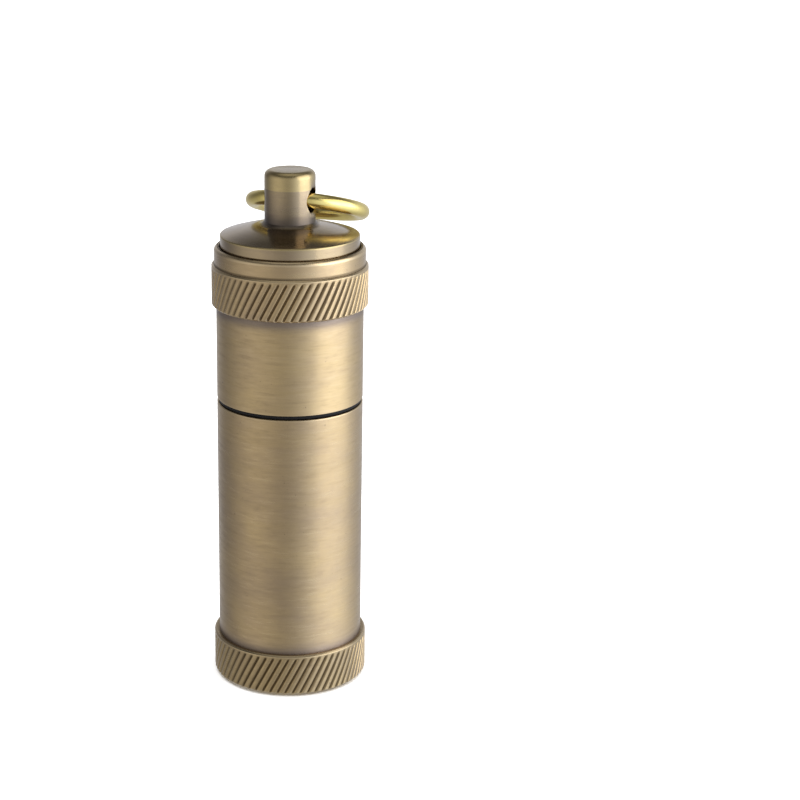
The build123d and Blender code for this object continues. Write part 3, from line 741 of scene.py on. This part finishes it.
wickLayers = [(wickChar, charAt)]
layRadius = wickRadius - wickBraid["yarn"] * wickBraid["flat"] - wickBraid["ripple"]
for hand in (1, -1):
    for yarn in range(wickBraid["yarns"]):
        top = wickHigh - wickBraid["tipGap"] - random.uniform(0, wickBraid["tipGap"])
        count = round((top - wickLow) / wickBraid["step"])
        points, radii = [], []
        for step in range(count + 1):
            z = wickLow + wickBraid["footGap"] + (top - wickLow) * step / count
            turn = 2 * math.pi * yarn / wickBraid["yarns"] + hand * wickTurn * z
            weave = hand * wickBraid["ripple"] * math.cos(wickBraid["yarns"] * wickTurn * z)
            reach = (layRadius + weave) * wickOpen(z)
            points.append(wickPoint(reach, turn, z))
            narrowed = smoothStep((z - top + wickBraid["taperLength"]) / wickBraid["taperLength"])
            radii.append(wickBraid["yarn"] * (1 - wickBraid["taper"] * narrowed))
        sweepTube(wickMesh, points, radii, wickBraid["sides"], wickOutward, wickBraid["flat"], wickLayers)
# a loose core inside, by its drop below the tip and its share of the radius
corePoints = [wickPoint(0, 0, wickLow + wickBraid["coreFoot"])]
corePoints += [wickPoint(0, 0, wickHigh - drop) for drop, share in wickBraid["core"]]
coreRadii = [layRadius] + [layRadius * share for drop, share in wickBraid["core"]]
sweepTube(wickMesh, corePoints, coreRadii, wickBraid["coreSides"], layers=wickLayers)
for fibre in range(wickFibres["count"]):
    turn = random.uniform(0, 2 * math.pi)
    reach = wickRadius * math.sqrt(random.uniform(0.02, 0.95))
    foot = wickHigh - random.uniform(*wickFibres["foot"])
    tall = min(wickHigh - wickFibres["tipGap"] - foot, wickFibres["length"] * random.uniform(0.5, 1.0))
    spread = random.uniform(0.0, wickFibres["spread"])
    points = []
    for step in range(len(wickFibres["radii"])):
        share = step / (len(wickFibres["radii"]) - 1)
        out = (reach + spread * share * share) * wickFibres["draw"]
        points.append(wickPoint(out, turn + share * wickFibres["twist"], foot + tall * share))
    sweepTube(wickMesh, points, wickFibres["radii"], wickFibres["sides"], layers=wickLayers)
bmesh.ops.recalc_face_normals(wickMesh, faces=wickMesh.faces)
fit(pieceFrom(wickMesh, "wick", sharp=60), wickCotton, "tank", "wick_cotton", "wick")


# packed fibre: the space it fills, with a lumpy skin drawn in from its walls
def fibrePad(name, node, look):
    mesh = bmesh.new()
    mesh.from_mesh(frame["nodes"][node].data)
    bmesh.ops.remove_doubles(mesh, verts=mesh.verts, dist=1e-7)
    for vertex in mesh.verts:
        vertex.co /= mm
    piece = pieceFrom(mesh, name)
    remesh = piece.modifiers.new("even skin", "REMESH")
    remesh.mode = "VOXEL"
    remesh.voxel_size = look["skin"] * mm
    settle(piece)
    for vertex in piece.data.vertices:
        place = vertex.co / mm
        lump = noise.noise(place * look["lumps"]) * 0.5 + 0.5
        fuzz = noise.noise(place * look["lumps"] * look["fineness"] + Vector((3, 1, 7))) * 0.5 + 0.5
        vertex.co -= vertex.normal * (look["draw"] * lump + look["fuzz"] * fuzz) * mm
    smooth = piece.modifiers.new("finer skin", "SUBSURF")
    smooth.levels = smooth.render_levels = 1
    settle(piece)
    piece.data.shade_smooth()
    return piece


wadding = {"skin": 0.45, "lumps": 0.5, "fineness": 5, "draw": 0.45, "fuzz": 0.16}
feltPad = {"skin": 0.26, "lumps": 0.9, "fineness": 5, "draw": 0.1, "fuzz": 0.07}
waddingPiece = fit(fibrePad("cottonWadding", "cotton_wadding", wadding), whiteWadding, "tank", "wadding",
                   "cotton_wadding")
feltPiece = fit(fibrePad("feltPad", "felt_pad", feltPad), woolFelt, "tank", "felt", "felt_pad")

# flint spring: its end turns lie close
flintSpring = {"wire": 0.15, "sides": 12, "pitch": 1.18, "turnSteps": 36, "closing": 0.75}
springLow, springHigh = low("flint_spring").z, high("flint_spring").z
springAxis = Vector((middle("flint_tube").x, middle("flint_tube").y, 0))
coilRadius = radiusOf("flint_spring") - flintSpring["wire"]
coilLength = springHigh - springLow - 2 * flintSpring["wire"]
coilTurns = round(coilLength / flintSpring["pitch"])
coilPoints = []
for step in range(coilTurns * flintSpring["turnSteps"] + 1):
    share = step / (coilTurns * flintSpring["turnSteps"])
    turn = 2 * math.pi * coilTurns * share
    rise = coilLength * (share - flintSpring["closing"] * math.sin(2 * math.pi * share) / (2 * math.pi))
    coilPoints.append(springAxis + Vector((coilRadius * math.cos(turn), coilRadius * math.sin(turn),
                                           springLow + flintSpring["wire"] + rise)))
coilMesh = bmesh.new()
sweepTube(coilMesh, coilPoints, [flintSpring["wire"]] * len(coilPoints), flintSpring["sides"],
          lambda point: Vector((point.x - springAxis.x, point.y - springAxis.y, 0)).normalized())
bmesh.ops.recalc_face_normals(coilMesh, faces=coilMesh.faces)
springPiece = fit(pieceFrom(coilMesh, "flintSpring"), springSteel, "tank", "spring_steel", "flint_spring")
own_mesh(springPiece)
print("insert made")

# bracket: one folded strip with two ears, on the works line
bracket = {"sheet": 0.5, "fold": 0.3, "innerFold": 0.1, "nearReach": 1.6, "farReach": 2.75, "footReach": 3.0,
           "corner": 0.6, "edge": 0.05, "axleHole": 0.61, "spare": 0.1, "cutReach": 5}
wheelAxis = Vector((wheelPivot.x, wheelPivot.y, 0))
bracketTop = high("wheel_bracket").z
earRise = bracketTop - plateZ
acrossAxle = axleLine.cross(Vector((0, 0, 1)))
if acrossAxle.dot(worksLine) < 0:
    acrossAxle = -acrossAxle
axleSide = Vector((0, 0, 1)).cross(acrossAxle)


# local X along the works line, Y along the axle, Z up
def onWorks(height):
    turned = Matrix((acrossAxle, axleSide, Vector((0, 0, 1)))).transposed().to_4x4()
    return Matrix.Translation(Vector((wheelAxis.x, wheelAxis.y, height)) * mm) @ turned


bracketCorners = [vertex.co / mm for vertex in frame["nodes"]["wheel_bracket"].data.vertices]
earOuter = max(abs((corner - wheelAxis).dot(axleSide)) for corner in bracketCorners)


def arcPoints(centre, radius, start, end, steps=6):
    points = []
    for step in range(steps + 1):
        turn = math.radians(start + (end - start) * step / steps)
        points.append((centre[0] + radius * math.cos(turn), centre[1] + radius * math.sin(turn)))
    return points


# a flat outline given depth; along says which local axis is the depth
def slab(name, outline, start, end, along, place):
    mesh = bmesh.new()
    sides = []
    for depth in (start, end):
        if along == "X":
            sides.append([mesh.verts.new((depth, a, b)) for a, b in outline])
        else:
            sides.append([mesh.verts.new((a, depth, b)) for a, b in outline])
    mesh.faces.new(sides[0])
    mesh.faces.new(sides[1])
    count = len(outline)
    for i in range(count):
        j = (i + 1) % count
        mesh.faces.new((sides[0][i], sides[0][j], sides[1][j], sides[1][i]))
    bmesh.ops.recalc_face_normals(mesh, faces=mesh.faces)
    return pieceFrom(mesh, name, place)


earInner = earOuter - bracket["sheet"]
outerFold, innerFold, sheet = bracket["fold"], bracket["innerFold"], bracket["sheet"]
foldedSection = (
    arcPoints((-earOuter + outerFold, outerFold), outerFold, 180, 270)
    + arcPoints((earOuter - outerFold, outerFold), outerFold, 270, 360)
    + [(earOuter, earRise), (earInner, earRise)]
    + arcPoints((earInner - innerFold, sheet + innerFold), innerFold, 0, -90)
    + arcPoints((-earInner + innerFold, sheet + innerFold), innerFold, 270, 180)
    + [(-earInner, earRise), (-earOuter, earRise)]
)
near, far, foot, corner = -bracket["nearReach"], bracket["farReach"], bracket["footReach"], bracket["corner"]
earOutline = (
    [(near, -bracket["spare"]), (foot, -bracket["spare"]), (foot, sheet), (far, sheet)]
    + arcPoints((far - corner, earRise - corner), corner, 0, 90)
    + arcPoints((near + corner, earRise - corner), corner, 90, 180)
)
bracketPlace = onWorks(plateZ)
bracketPiece = slab("wheelBracket", foldedSection, near, foot, "X", bracketPlace)
earCutter = slab("earOutline", earOutline, -earOuter - 1, earOuter + 1, "Y", bracketPlace)
cutAway(bracketPiece, earCutter, operation="INTERSECT")
axleTurn = bracketPlace @ Matrix.Rotation(math.radians(-90), 4, "X")
axlePlace = Matrix.Translation((0, 0, (wheelPivot.z - plateZ) * mm)) @ axleTurn
axleHole, cutReach = bracket["axleHole"], bracket["cutReach"]
axleCutter = lathe("axleCut", [(0, -cutReach, 0), (axleHole, -cutReach, 0), (axleHole, cutReach, 0),
                               (0, cutReach, 0)], columns=40, core=axlePlace)
cutAway(bracketPiece, axleCutter, peg("feedCut", wheelAxis, insertTop["tubeHole"], plateZ - 1, plateZ + 2))
softenEdges(bracketPiece, bracket["edge"])
fit(bracketPiece, nickelPlate, "tank", "nickel", "wheel_bracket")

# axle with its two peened heads
axle = {"radius": 0.6, "head": 0.75, "dome": 0.3}
domed = [(axle["head"] * math.sin(math.radians(a)), earOuter + axle["dome"] * math.cos(math.radians(a)))
         for a in range(0, 91, 10)]
axlePath = [(r, z, 0.0) for r, z in domed]
axlePath += [(axle["radius"], earOuter, 0.0), (axle["radius"], -earOuter, 0.0)]
axlePath += [(r, -z, 0.0) for r, z in reversed(domed)]
fit(lathe("wheelAxle", axlePath, columns=48, core=axlePlace), plainBrass, "tank", "plain_brass", "wheel_axle")

# spark wheel: rings of V grooves crossed by slanted teeth
sparkWheel = {"teeth": 44, "width": 3.4, "slant": 60.0, "depth": 0.16, "rings": 4, "ringDepth": 0.13,
              "ringRows": 5, "ringSteepness": 6, "edge": 0.15, "hub": 1.35, "hubGap": 0.05, "bore": 0.65,
              "face": 0.12, "dish": (0.72, 0.8)}
wheelRadius = (high("spark_wheel").z - low("spark_wheel").z) / 2
halfWidth = sparkWheel["width"] / 2
edge, hub, bore = sparkWheel["edge"], sparkWheel["hub"], sparkWheel["bore"]
hubEnd = earInner - sparkWheel["hubGap"]
toothSection = ((0.0, 0.0), (0.3, 0.0), (0.45, 0.7), (0.55, 1.0), (0.65, 0.7), (0.85, 0.0))
wheelKnurl = {"radius": wheelRadius, "start": -halfWidth, "end": halfWidth, "angle": sparkWheel["slant"],
              "depth": sparkWheel["depth"], "runOut": 0.02, "closedFoot": True, "count": sparkWheel["teeth"],
              "section": toothSection}
rim = []
rows = sparkWheel["ringRows"] * (sparkWheel["rings"] + 1)
for row in range(rows + 1):
    at = -halfWidth + edge + (2 * halfWidth - 2 * edge) * row / rows
    phase = ((at + halfWidth) / sparkWheel["width"] * (sparkWheel["rings"] + 1)) % 1.0
    sunk = max(0.0, 1 - min(phase, 1 - phase) * sparkWheel["ringSteepness"])
    rim.append((wheelRadius - sparkWheel["ringDepth"] * sunk, at, 1.0 - sunk))
face = halfWidth - sparkWheel["face"]
dishInner, dishOuter = [wheelRadius * share for share in sparkWheel["dish"]]
sidePath = [(bore, hubEnd, 0.0), (hub, hubEnd, 0.4), (hub, face, 0.0), (dishInner, face, 0.0),
            (dishOuter, halfWidth, 0.3), (wheelRadius - edge, halfWidth, 0.6)]
wheelPath = [(r, -z, wear) for r, z, wear in sidePath] + rim + sidePath[::-1]
fit(lathe("sparkWheel", wheelPath, closed=True, knurl=wheelKnurl, core=axlePlace), blackSteel, "wheel",
    "dark_steel", "spark_wheel")
print("spark works made")

# cap: shell with its thread, and the knurled crown
# painted shade on the shell, strongest just under the crown and gone 1.5 mm below it; rows are drop below the
# crown and shade
capShell = {"mouthEdge": 0.07, "mouthHeight": 0.85, "lip": 0.05,
            "paintedShade": ((1.5, 0.0), (0.95, 0.35), (0.5, 0.85), (0.0, 1.0))}
capLow, capHigh = low("cap_shell").z, high("cap_shell").z
crownLow, crownHigh, crownRadius = low("cap_crown").z, high("cap_crown").z, radiusOf("cap_crown")
capBore = neckCrest + screwThread["gap"]
capThreadZ = capLow + capShell["mouthHeight"]
shell = lathe("capShell", turnedOutline([
    (tubeRadius - capShell["mouthEdge"], capLow),
    (tubeRadius, capLow, capShell["lip"]),
    *[(tubeRadius, crownLow - drop, 0, paintedShade) for drop, paintedShade in capShell["paintedShade"]],
    (tubeRadius, capHigh),
    (capBore, capHigh),
    (capBore, capThreadZ),
], closed=True), closed=True)
capThread = threadRidge("capThread", screwThread, capBore, neck["root"] + screwThread["gap"],
                        neck["threadStart"] - screwThread["pitch"] / 2, capThreadZ,
                        neckHigh + screwThread["pitch"] / 2)
fit(join(shell, capThread), capBrass, "cap", "brushed_brass", "cap_shell")

capCrown = {"footInset": 0.1, "chamfer": 0.16, "edge": 0.05, "margin": 0.26, "rimWall": 0.18,
            "rimHeight": 1.85, "rimFoot": 0.03, "rimRounding": 0.4, "rimWidth": 0.48, "rimInner": 0.06,
            "recessDepth": 0.4, "cleanDepth": 0.15, "stepShade": 0.9, "shadeRise": 0.3, "plate": 0.8,
            "stemHole": 1.45}
rimRadius = tubeRadius + capCrown["rimWall"]
recessRadius = rimRadius - capCrown["rimWidth"]
crownBandTop = crownHigh - capCrown["rimHeight"]
recessZ = crownHigh - capCrown["recessDepth"]
ceilingZ = recessZ - capCrown["plate"]
crownKnurl = bandKnurl(crownRadius, crownLow, crownBandTop - capCrown["margin"])
crownBevel = capCrown["chamfer"]
fit(lathe("capCrown", [
    (tubeRadius, capHigh, 0.0),
    (tubeRadius, crownLow, 0.0),
    (crownRadius - crownBevel - capCrown["footInset"], crownLow, 0.0),
    *bandRows(crownRadius, crownLow, crownBevel, crownKnurl),
    *turnedOutline([
        (crownRadius, crownKnurl["end"]),
        (crownRadius, crownBandTop - crownBevel, capCrown["edge"]),
        (crownRadius - crownBevel, crownBandTop, capCrown["edge"]),
        # painted shade: heavy in the corner at the foot of the rim, and full over the recess where the
        # finial's disc sits
        (rimRadius, crownBandTop, capCrown["rimFoot"], capCrown["stepShade"]),
        (rimRadius, crownBandTop + capCrown["shadeRise"], 0, 0.1),
        (rimRadius, crownHigh, capCrown["rimRounding"]),
        (recessRadius, crownHigh, capCrown["rimInner"]),
        (recessRadius, crownHigh - capCrown["cleanDepth"], 0, 1.0),
        (recessRadius, recessZ, 0, 1.0),
        (capCrown["stemHole"], recessZ, 0, 1.0),
        (capCrown["stemHole"], ceilingZ),
        (capBore, ceilingZ),
        (capBore, capHigh),
    ])[1:],
], closed=True, knurl=crownKnurl), knurledBrass, "cap", "knurled_brass", "cap_crown")
print("cap made")

# finial: disc, dome and cross-drilled post; tones are height up the post and painted shade, heaviest at the
# foot, where it stands for the disc's dark reflection in the post
finial = {"post": 2.66, "discHeight": 1.4, "discFoot": 0.08, "edge": 0.12, "domeLead": (1.0, 0.35),
          "domeFrom": 0.3, "domeRows": 26, "domeRise": 1.1, "domeBulge": 0.6, "root": 0.3, "rootShare": 0.14,
          "rootRise": 0.6, "top": 0.65, "stem": 1.4, "stemHead": 1.7, "stemEdge": 0.05, "headHeight": 0.35,
          "hole": 1.3, "flareAt": 2.42, "flareDepth": 0.4, "head": 1.85, "columns": 192,
          "tones": ((0.0, 1.0), (0.14, 0.85), (0.34, 0.5), (0.67, 0.33), (0.98, 0.2))}
finialLow, finialHigh, finialRadius = low("finial").z, high("finial").z, radiusOf("finial")
discZ = high("swivel_washer").z
discEdge = discZ + finial["discHeight"]
postZ = discEdge + finial["domeRise"]
footZ, headZ = postZ + finial["root"], finialHigh - finial["head"]


# the dome's outline, from the disc's edge to the foot of the post, with painted shade rising into the corner
# at the post's foot
def domeRows():
    rows = []
    for step in range(1, finial["domeRows"]):
        share = step / finial["domeRows"]
        radius = finialRadius + (finial["post"] - finialRadius) * share
        bulge = 4 * (finial["domeBulge"] - 0.5) * share * (1 - share)
        foot = smoothStep((share - (1 - finial["rootShare"])) / finial["rootShare"])
        rise = finial["domeRise"] * (share + bulge) + foot * share * finial["root"] * finial["rootRise"]
        rows.append((radius, discEdge + rise, 0.0, foot))
    return rows


finialPath = [
    *turnedOutline([
        (0, finialLow),
        (finial["stemHead"], finialLow, finial["stemEdge"]),
        (finial["stemHead"], finialLow + finial["headHeight"]),
        (finial["stem"], finialLow + finial["headHeight"]),
        (finial["stem"], discZ),
        (finialRadius, discZ, finial["discFoot"]),
        (finialRadius, discEdge, finial["edge"]),
        (finialRadius - finial["domeLead"][0], discEdge + finial["domeLead"][1]),
    ])[:-1],
    *[row for row in domeRows() if row[0] < finialRadius - finial["domeFrom"]],
    *[(finial["post"], footZ + (headZ - footZ) * share, 0.0, paintedShade) for share, paintedShade in finial["tones"]],
    *[(r, z, 1.0, 0.0) for r, z, *_ in turnedOutline([
        (finial["post"], headZ), (finial["post"], finialHigh, finial["top"]), (0, finialHigh)])],
]
finialPiece = lathe("finial", finialPath, columns=finial["columns"])
holePivot = Vector(joint("ring_swing")["pos_m"]) / mm
holeLine = Vector(joint("ring_swing")["axis"]).normalized()
holeTurn = holeLine.to_track_quat("Z", "Y").to_matrix().to_4x4()
flare, flareDepth = finial["flareAt"], finial["flareDepth"]
flareEnd, flareRadius = flare + flareDepth, finial["hole"] + flareDepth
holeCutter = lathe("crossHole", [
    (0, -flareEnd, 0), (flareRadius, -flareEnd, 0), (finial["hole"], -flare, 0),
    (finial["hole"], flare, 0), (flareRadius, flareEnd, 0), (0, flareEnd, 0),
], columns=72, core=Matrix.Translation(holePivot * mm) @ holeTurn)
cutAway(finialPiece, holeCutter)
finialPiece.data.set_sharp_from_angle(angle=math.radians(28))
fit(finialPiece, polishedBrass, "finial", "turned_brass", "finial")

# ring: round wire with a fine seam between its squared ends
keyRing = {"wire": 0.8, "sides": 36, "radius": 5.8, "seam": 1.5, "seamAt": -70.0, "endEdge": 0.1,
           "steps": 220}
ringMiddle = middle("key_ring")
ringHeading = (ringMiddle - holePivot).normalized()
ringHeading = (ringHeading - holeLine * ringHeading.dot(holeLine)).normalized()
ringRadius = keyRing["radius"]
sag = ringRadius - math.sqrt(ringRadius ** 2 - finial["post"] ** 2)
ringCentre = holePivot + ringHeading * (ringRadius - sag / 2)
ringMesh = bmesh.new()
ringPoints, ringRadii = [], []
for step in range(keyRing["steps"] + 1):
    share = step / keyRing["steps"]
    turn = math.radians(keyRing["seamAt"] + (360 - keyRing["seam"]) * share)
    ringPoints.append(ringCentre + ringRadius * (ringHeading * math.cos(turn) + holeLine * math.sin(turn)))
    ringRadii.append(keyRing["wire"])
for end in (0, keyRing["steps"]):
    ringRadii[end] = keyRing["wire"] - keyRing["endEdge"]
sweepTube(ringMesh, ringPoints, ringRadii, keyRing["sides"], lambda point: (point - ringCentre).normalized())
bmesh.ops.recalc_face_normals(ringMesh, faces=ringMesh.faces)
fit(pieceFrom(ringMesh, "keyRing"), ringBrass, "ring", "ring_brass", "key_ring")
print("finial and ring made")

# pieces that keep their CAD shape
keptPieces = {
    "insert_can": (nickelPlate, "nickel"),
    "flint_tube": (plainBrass, "plain_brass"),
    "flint_screw": (plainBrass, "plain_brass"),
    "spring_plunger": (plainBrass, "plain_brass"),
    "stem_washer": (plainBrass, "plain_brass"),
    "flint": (flintRod, "ferro_rod"),
    "swivel_washer": (washerNylon, "clear_plastic"),
}
for node, (material, slotName) in keptPieces.items():
    piece = frame["nodes"][node]
    piece.data.materials.clear()
    piece.data.materials.append(material)

# studio: pale floor, soft lights, camera
studio = {"floorSize": 20.0, "floorTone": (0.93, 0.93, 0.93), "floorShade": (0.92, 0.92, 0.925)}
floorMesh = bmesh.new()
half = studio["floorSize"] / 2 / mm
floorCorners = ((-half, -half), (half, -half), (half, half), (-half, half))
floorMesh.faces.new([floorMesh.verts.new((x, y, 0)) for x, y in floorCorners])
floor = pieceFrom(floorMesh, "paleFloor")
floorPaint, floorTree, floorShader = newMaterial("pale floor")
grain = grainAt(floorTree, ownPlace(floorTree), 40.0, 2.0)
floorColour = blend(floorTree, between(floorTree, grain, 0.3, 0.7), studio["floorTone"], studio["floorShade"])
give(floorTree, floorShader.inputs["Base Color"], floorColour)
floorShader.inputs["Roughness"].default_value = 0.9
floor.data.materials.append(floorPaint)
floor.visible_glossy = False

world = bpy.data.worlds.new("studio")
bpy.context.scene.world = world
world.use_nodes = True
worldTree = world.node_tree
lookUp = worldTree.nodes.new("ShaderNodeTexCoord").outputs["Generated"]


# a direction; azimuth 0 is towards the camera, and 90 to its right
def heading(azimuth, elevation):
    a, e = math.radians(azimuth), math.radians(elevation)
    return Vector((math.sin(a) * math.cos(e), -math.cos(a) * math.cos(e), math.sin(e)))


def scaled(colour, amount):
    node = worldTree.nodes.new("ShaderNodeVectorMath")
    node.operation = "SCALE"
    give(worldTree, node.inputs[0], colour)
    give(worldTree, node.inputs["Scale"], amount)
    return node.outputs[0]


# how strongly one broad soft glow in the studio dome shows in a direction, fading at the ceiling
def glow(azimuth, elevation, tightness):
    facing = worldTree.nodes.new("ShaderNodeVectorMath")
    facing.operation = "DOT_PRODUCT"
    give(worldTree, facing.inputs[0], lookUp)
    facing.inputs[1].default_value = heading(azimuth, elevation)
    spread = sumOf(worldTree, "POWER", sumOf(worldTree, "MAXIMUM", facing.outputs["Value"], 0.0), tightness)
    return sumOf(worldTree, "MULTIPLY", spread, belowCeiling)


# glows are azimuth, elevation, tightness and colour; a negative colour darkens that side
dome = {
    "table": (0.45, 0.45, 0.45), "ceiling": 0.1, "ceilingStart": 0.3, "ceilingEnd": 0.66,
    "zenith": (0.45, 0.45, 0.43), "zenithStart": 0.8, "zenithEnd": 0.97,
    "glows": ((69, -4, 2.6, (1.24, 1.36, 1.57)), (-56, -4, 5.0, (0.36, 0.35, 0.33)),
              (176, 2, 3.0, (0.25, 0.26, 0.30)), (-128, 10, 6.0, (-0.32, -0.32, -0.30))),
}
direction = worldTree.nodes.new("ShaderNodeSeparateXYZ")
give(worldTree, direction.inputs[0], lookUp)
upward = direction.outputs[2]
ceilingSpan = (dome["ceilingStart"], dome["ceilingEnd"])
belowCeiling = between(worldTree, upward, *ceilingSpan, 1.0, 0.0)
dimming = between(worldTree, upward, *ceilingSpan, 1.0, dome["ceiling"] / dome["table"][0])
light = scaled(dome["table"], dimming)
glows = [scaled(colour, glow(azimuth, elevation, tightness))
         for azimuth, elevation, tightness, colour in dome["glows"]]
glows.append(scaled(dome["zenith"], between(worldTree, upward, dome["zenithStart"], dome["zenithEnd"])))
for oneGlow in glows:
    more = worldTree.nodes.new("ShaderNodeVectorMath")
    give(worldTree, more.inputs[0], light)
    give(worldTree, more.inputs[1], oneGlow)
    light = more.outputs[0]
give(worldTree, worldTree.nodes["Background"].inputs["Color"], light)

# two square soft lights, aimed at the middle of the lighter
lamps = {
    "rightSoftbox": {"azimuth": 70, "elevation": 20, "distance": 0.5, "size": 0.6, "power": 1.7,
                     "colour": (1, 0.98, 0.95), "mirrored": True},
    "overheadPanel": {"azimuth": 0, "elevation": 89, "distance": 3.0, "size": 6.0, "power": 312.0,
                      "colour": (1, 1, 1), "mirrored": False},
}
lampAim = Vector((0, 0, 0.03))
for name, lamp in lamps.items():
    light = bpy.data.lights.new(name, "AREA")
    light.shape = "RECTANGLE"
    light.size = light.size_y = lamp["size"]
    light.energy = lamp["power"]
    light.color = lamp["colour"]
    lampHolder = bpy.data.objects.new(name, light)
    bpy.context.scene.collection.objects.link(lampHolder)
    away = heading(lamp["azimuth"], lamp["elevation"])
    lampHolder.location = lampAim + away * lamp["distance"]
    lampHolder.rotation_euler = away.to_track_quat("Z", "Y").to_euler()
    lampHolder.visible_glossy = lamp["mirrored"]

# camera in front, looking down a little, with the lighter left of the middle
view = {"lens": 88.5, "sensor": 36, "shift": 0.1375, "clip": 0.01, "place": (0, -0.1999, 0.0938),
        "tilt": 17.49}
camera = bpy.data.cameras.new("camera")
camera.lens = view["lens"]
camera.sensor_width = view["sensor"]
camera.shift_x = view["shift"]
camera.clip_start = view["clip"]
cameraHolder = bpy.data.objects.new("camera", camera)
bpy.context.scene.collection.objects.link(cameraHolder)
cameraHolder.location = view["place"]
cameraHolder.rotation_euler = (math.radians(90 - view["tilt"]), 0, 0)
bpy.context.scene.camera = cameraHolder
bpy.context.scene.view_settings.view_transform = "Standard"
print("studio made")
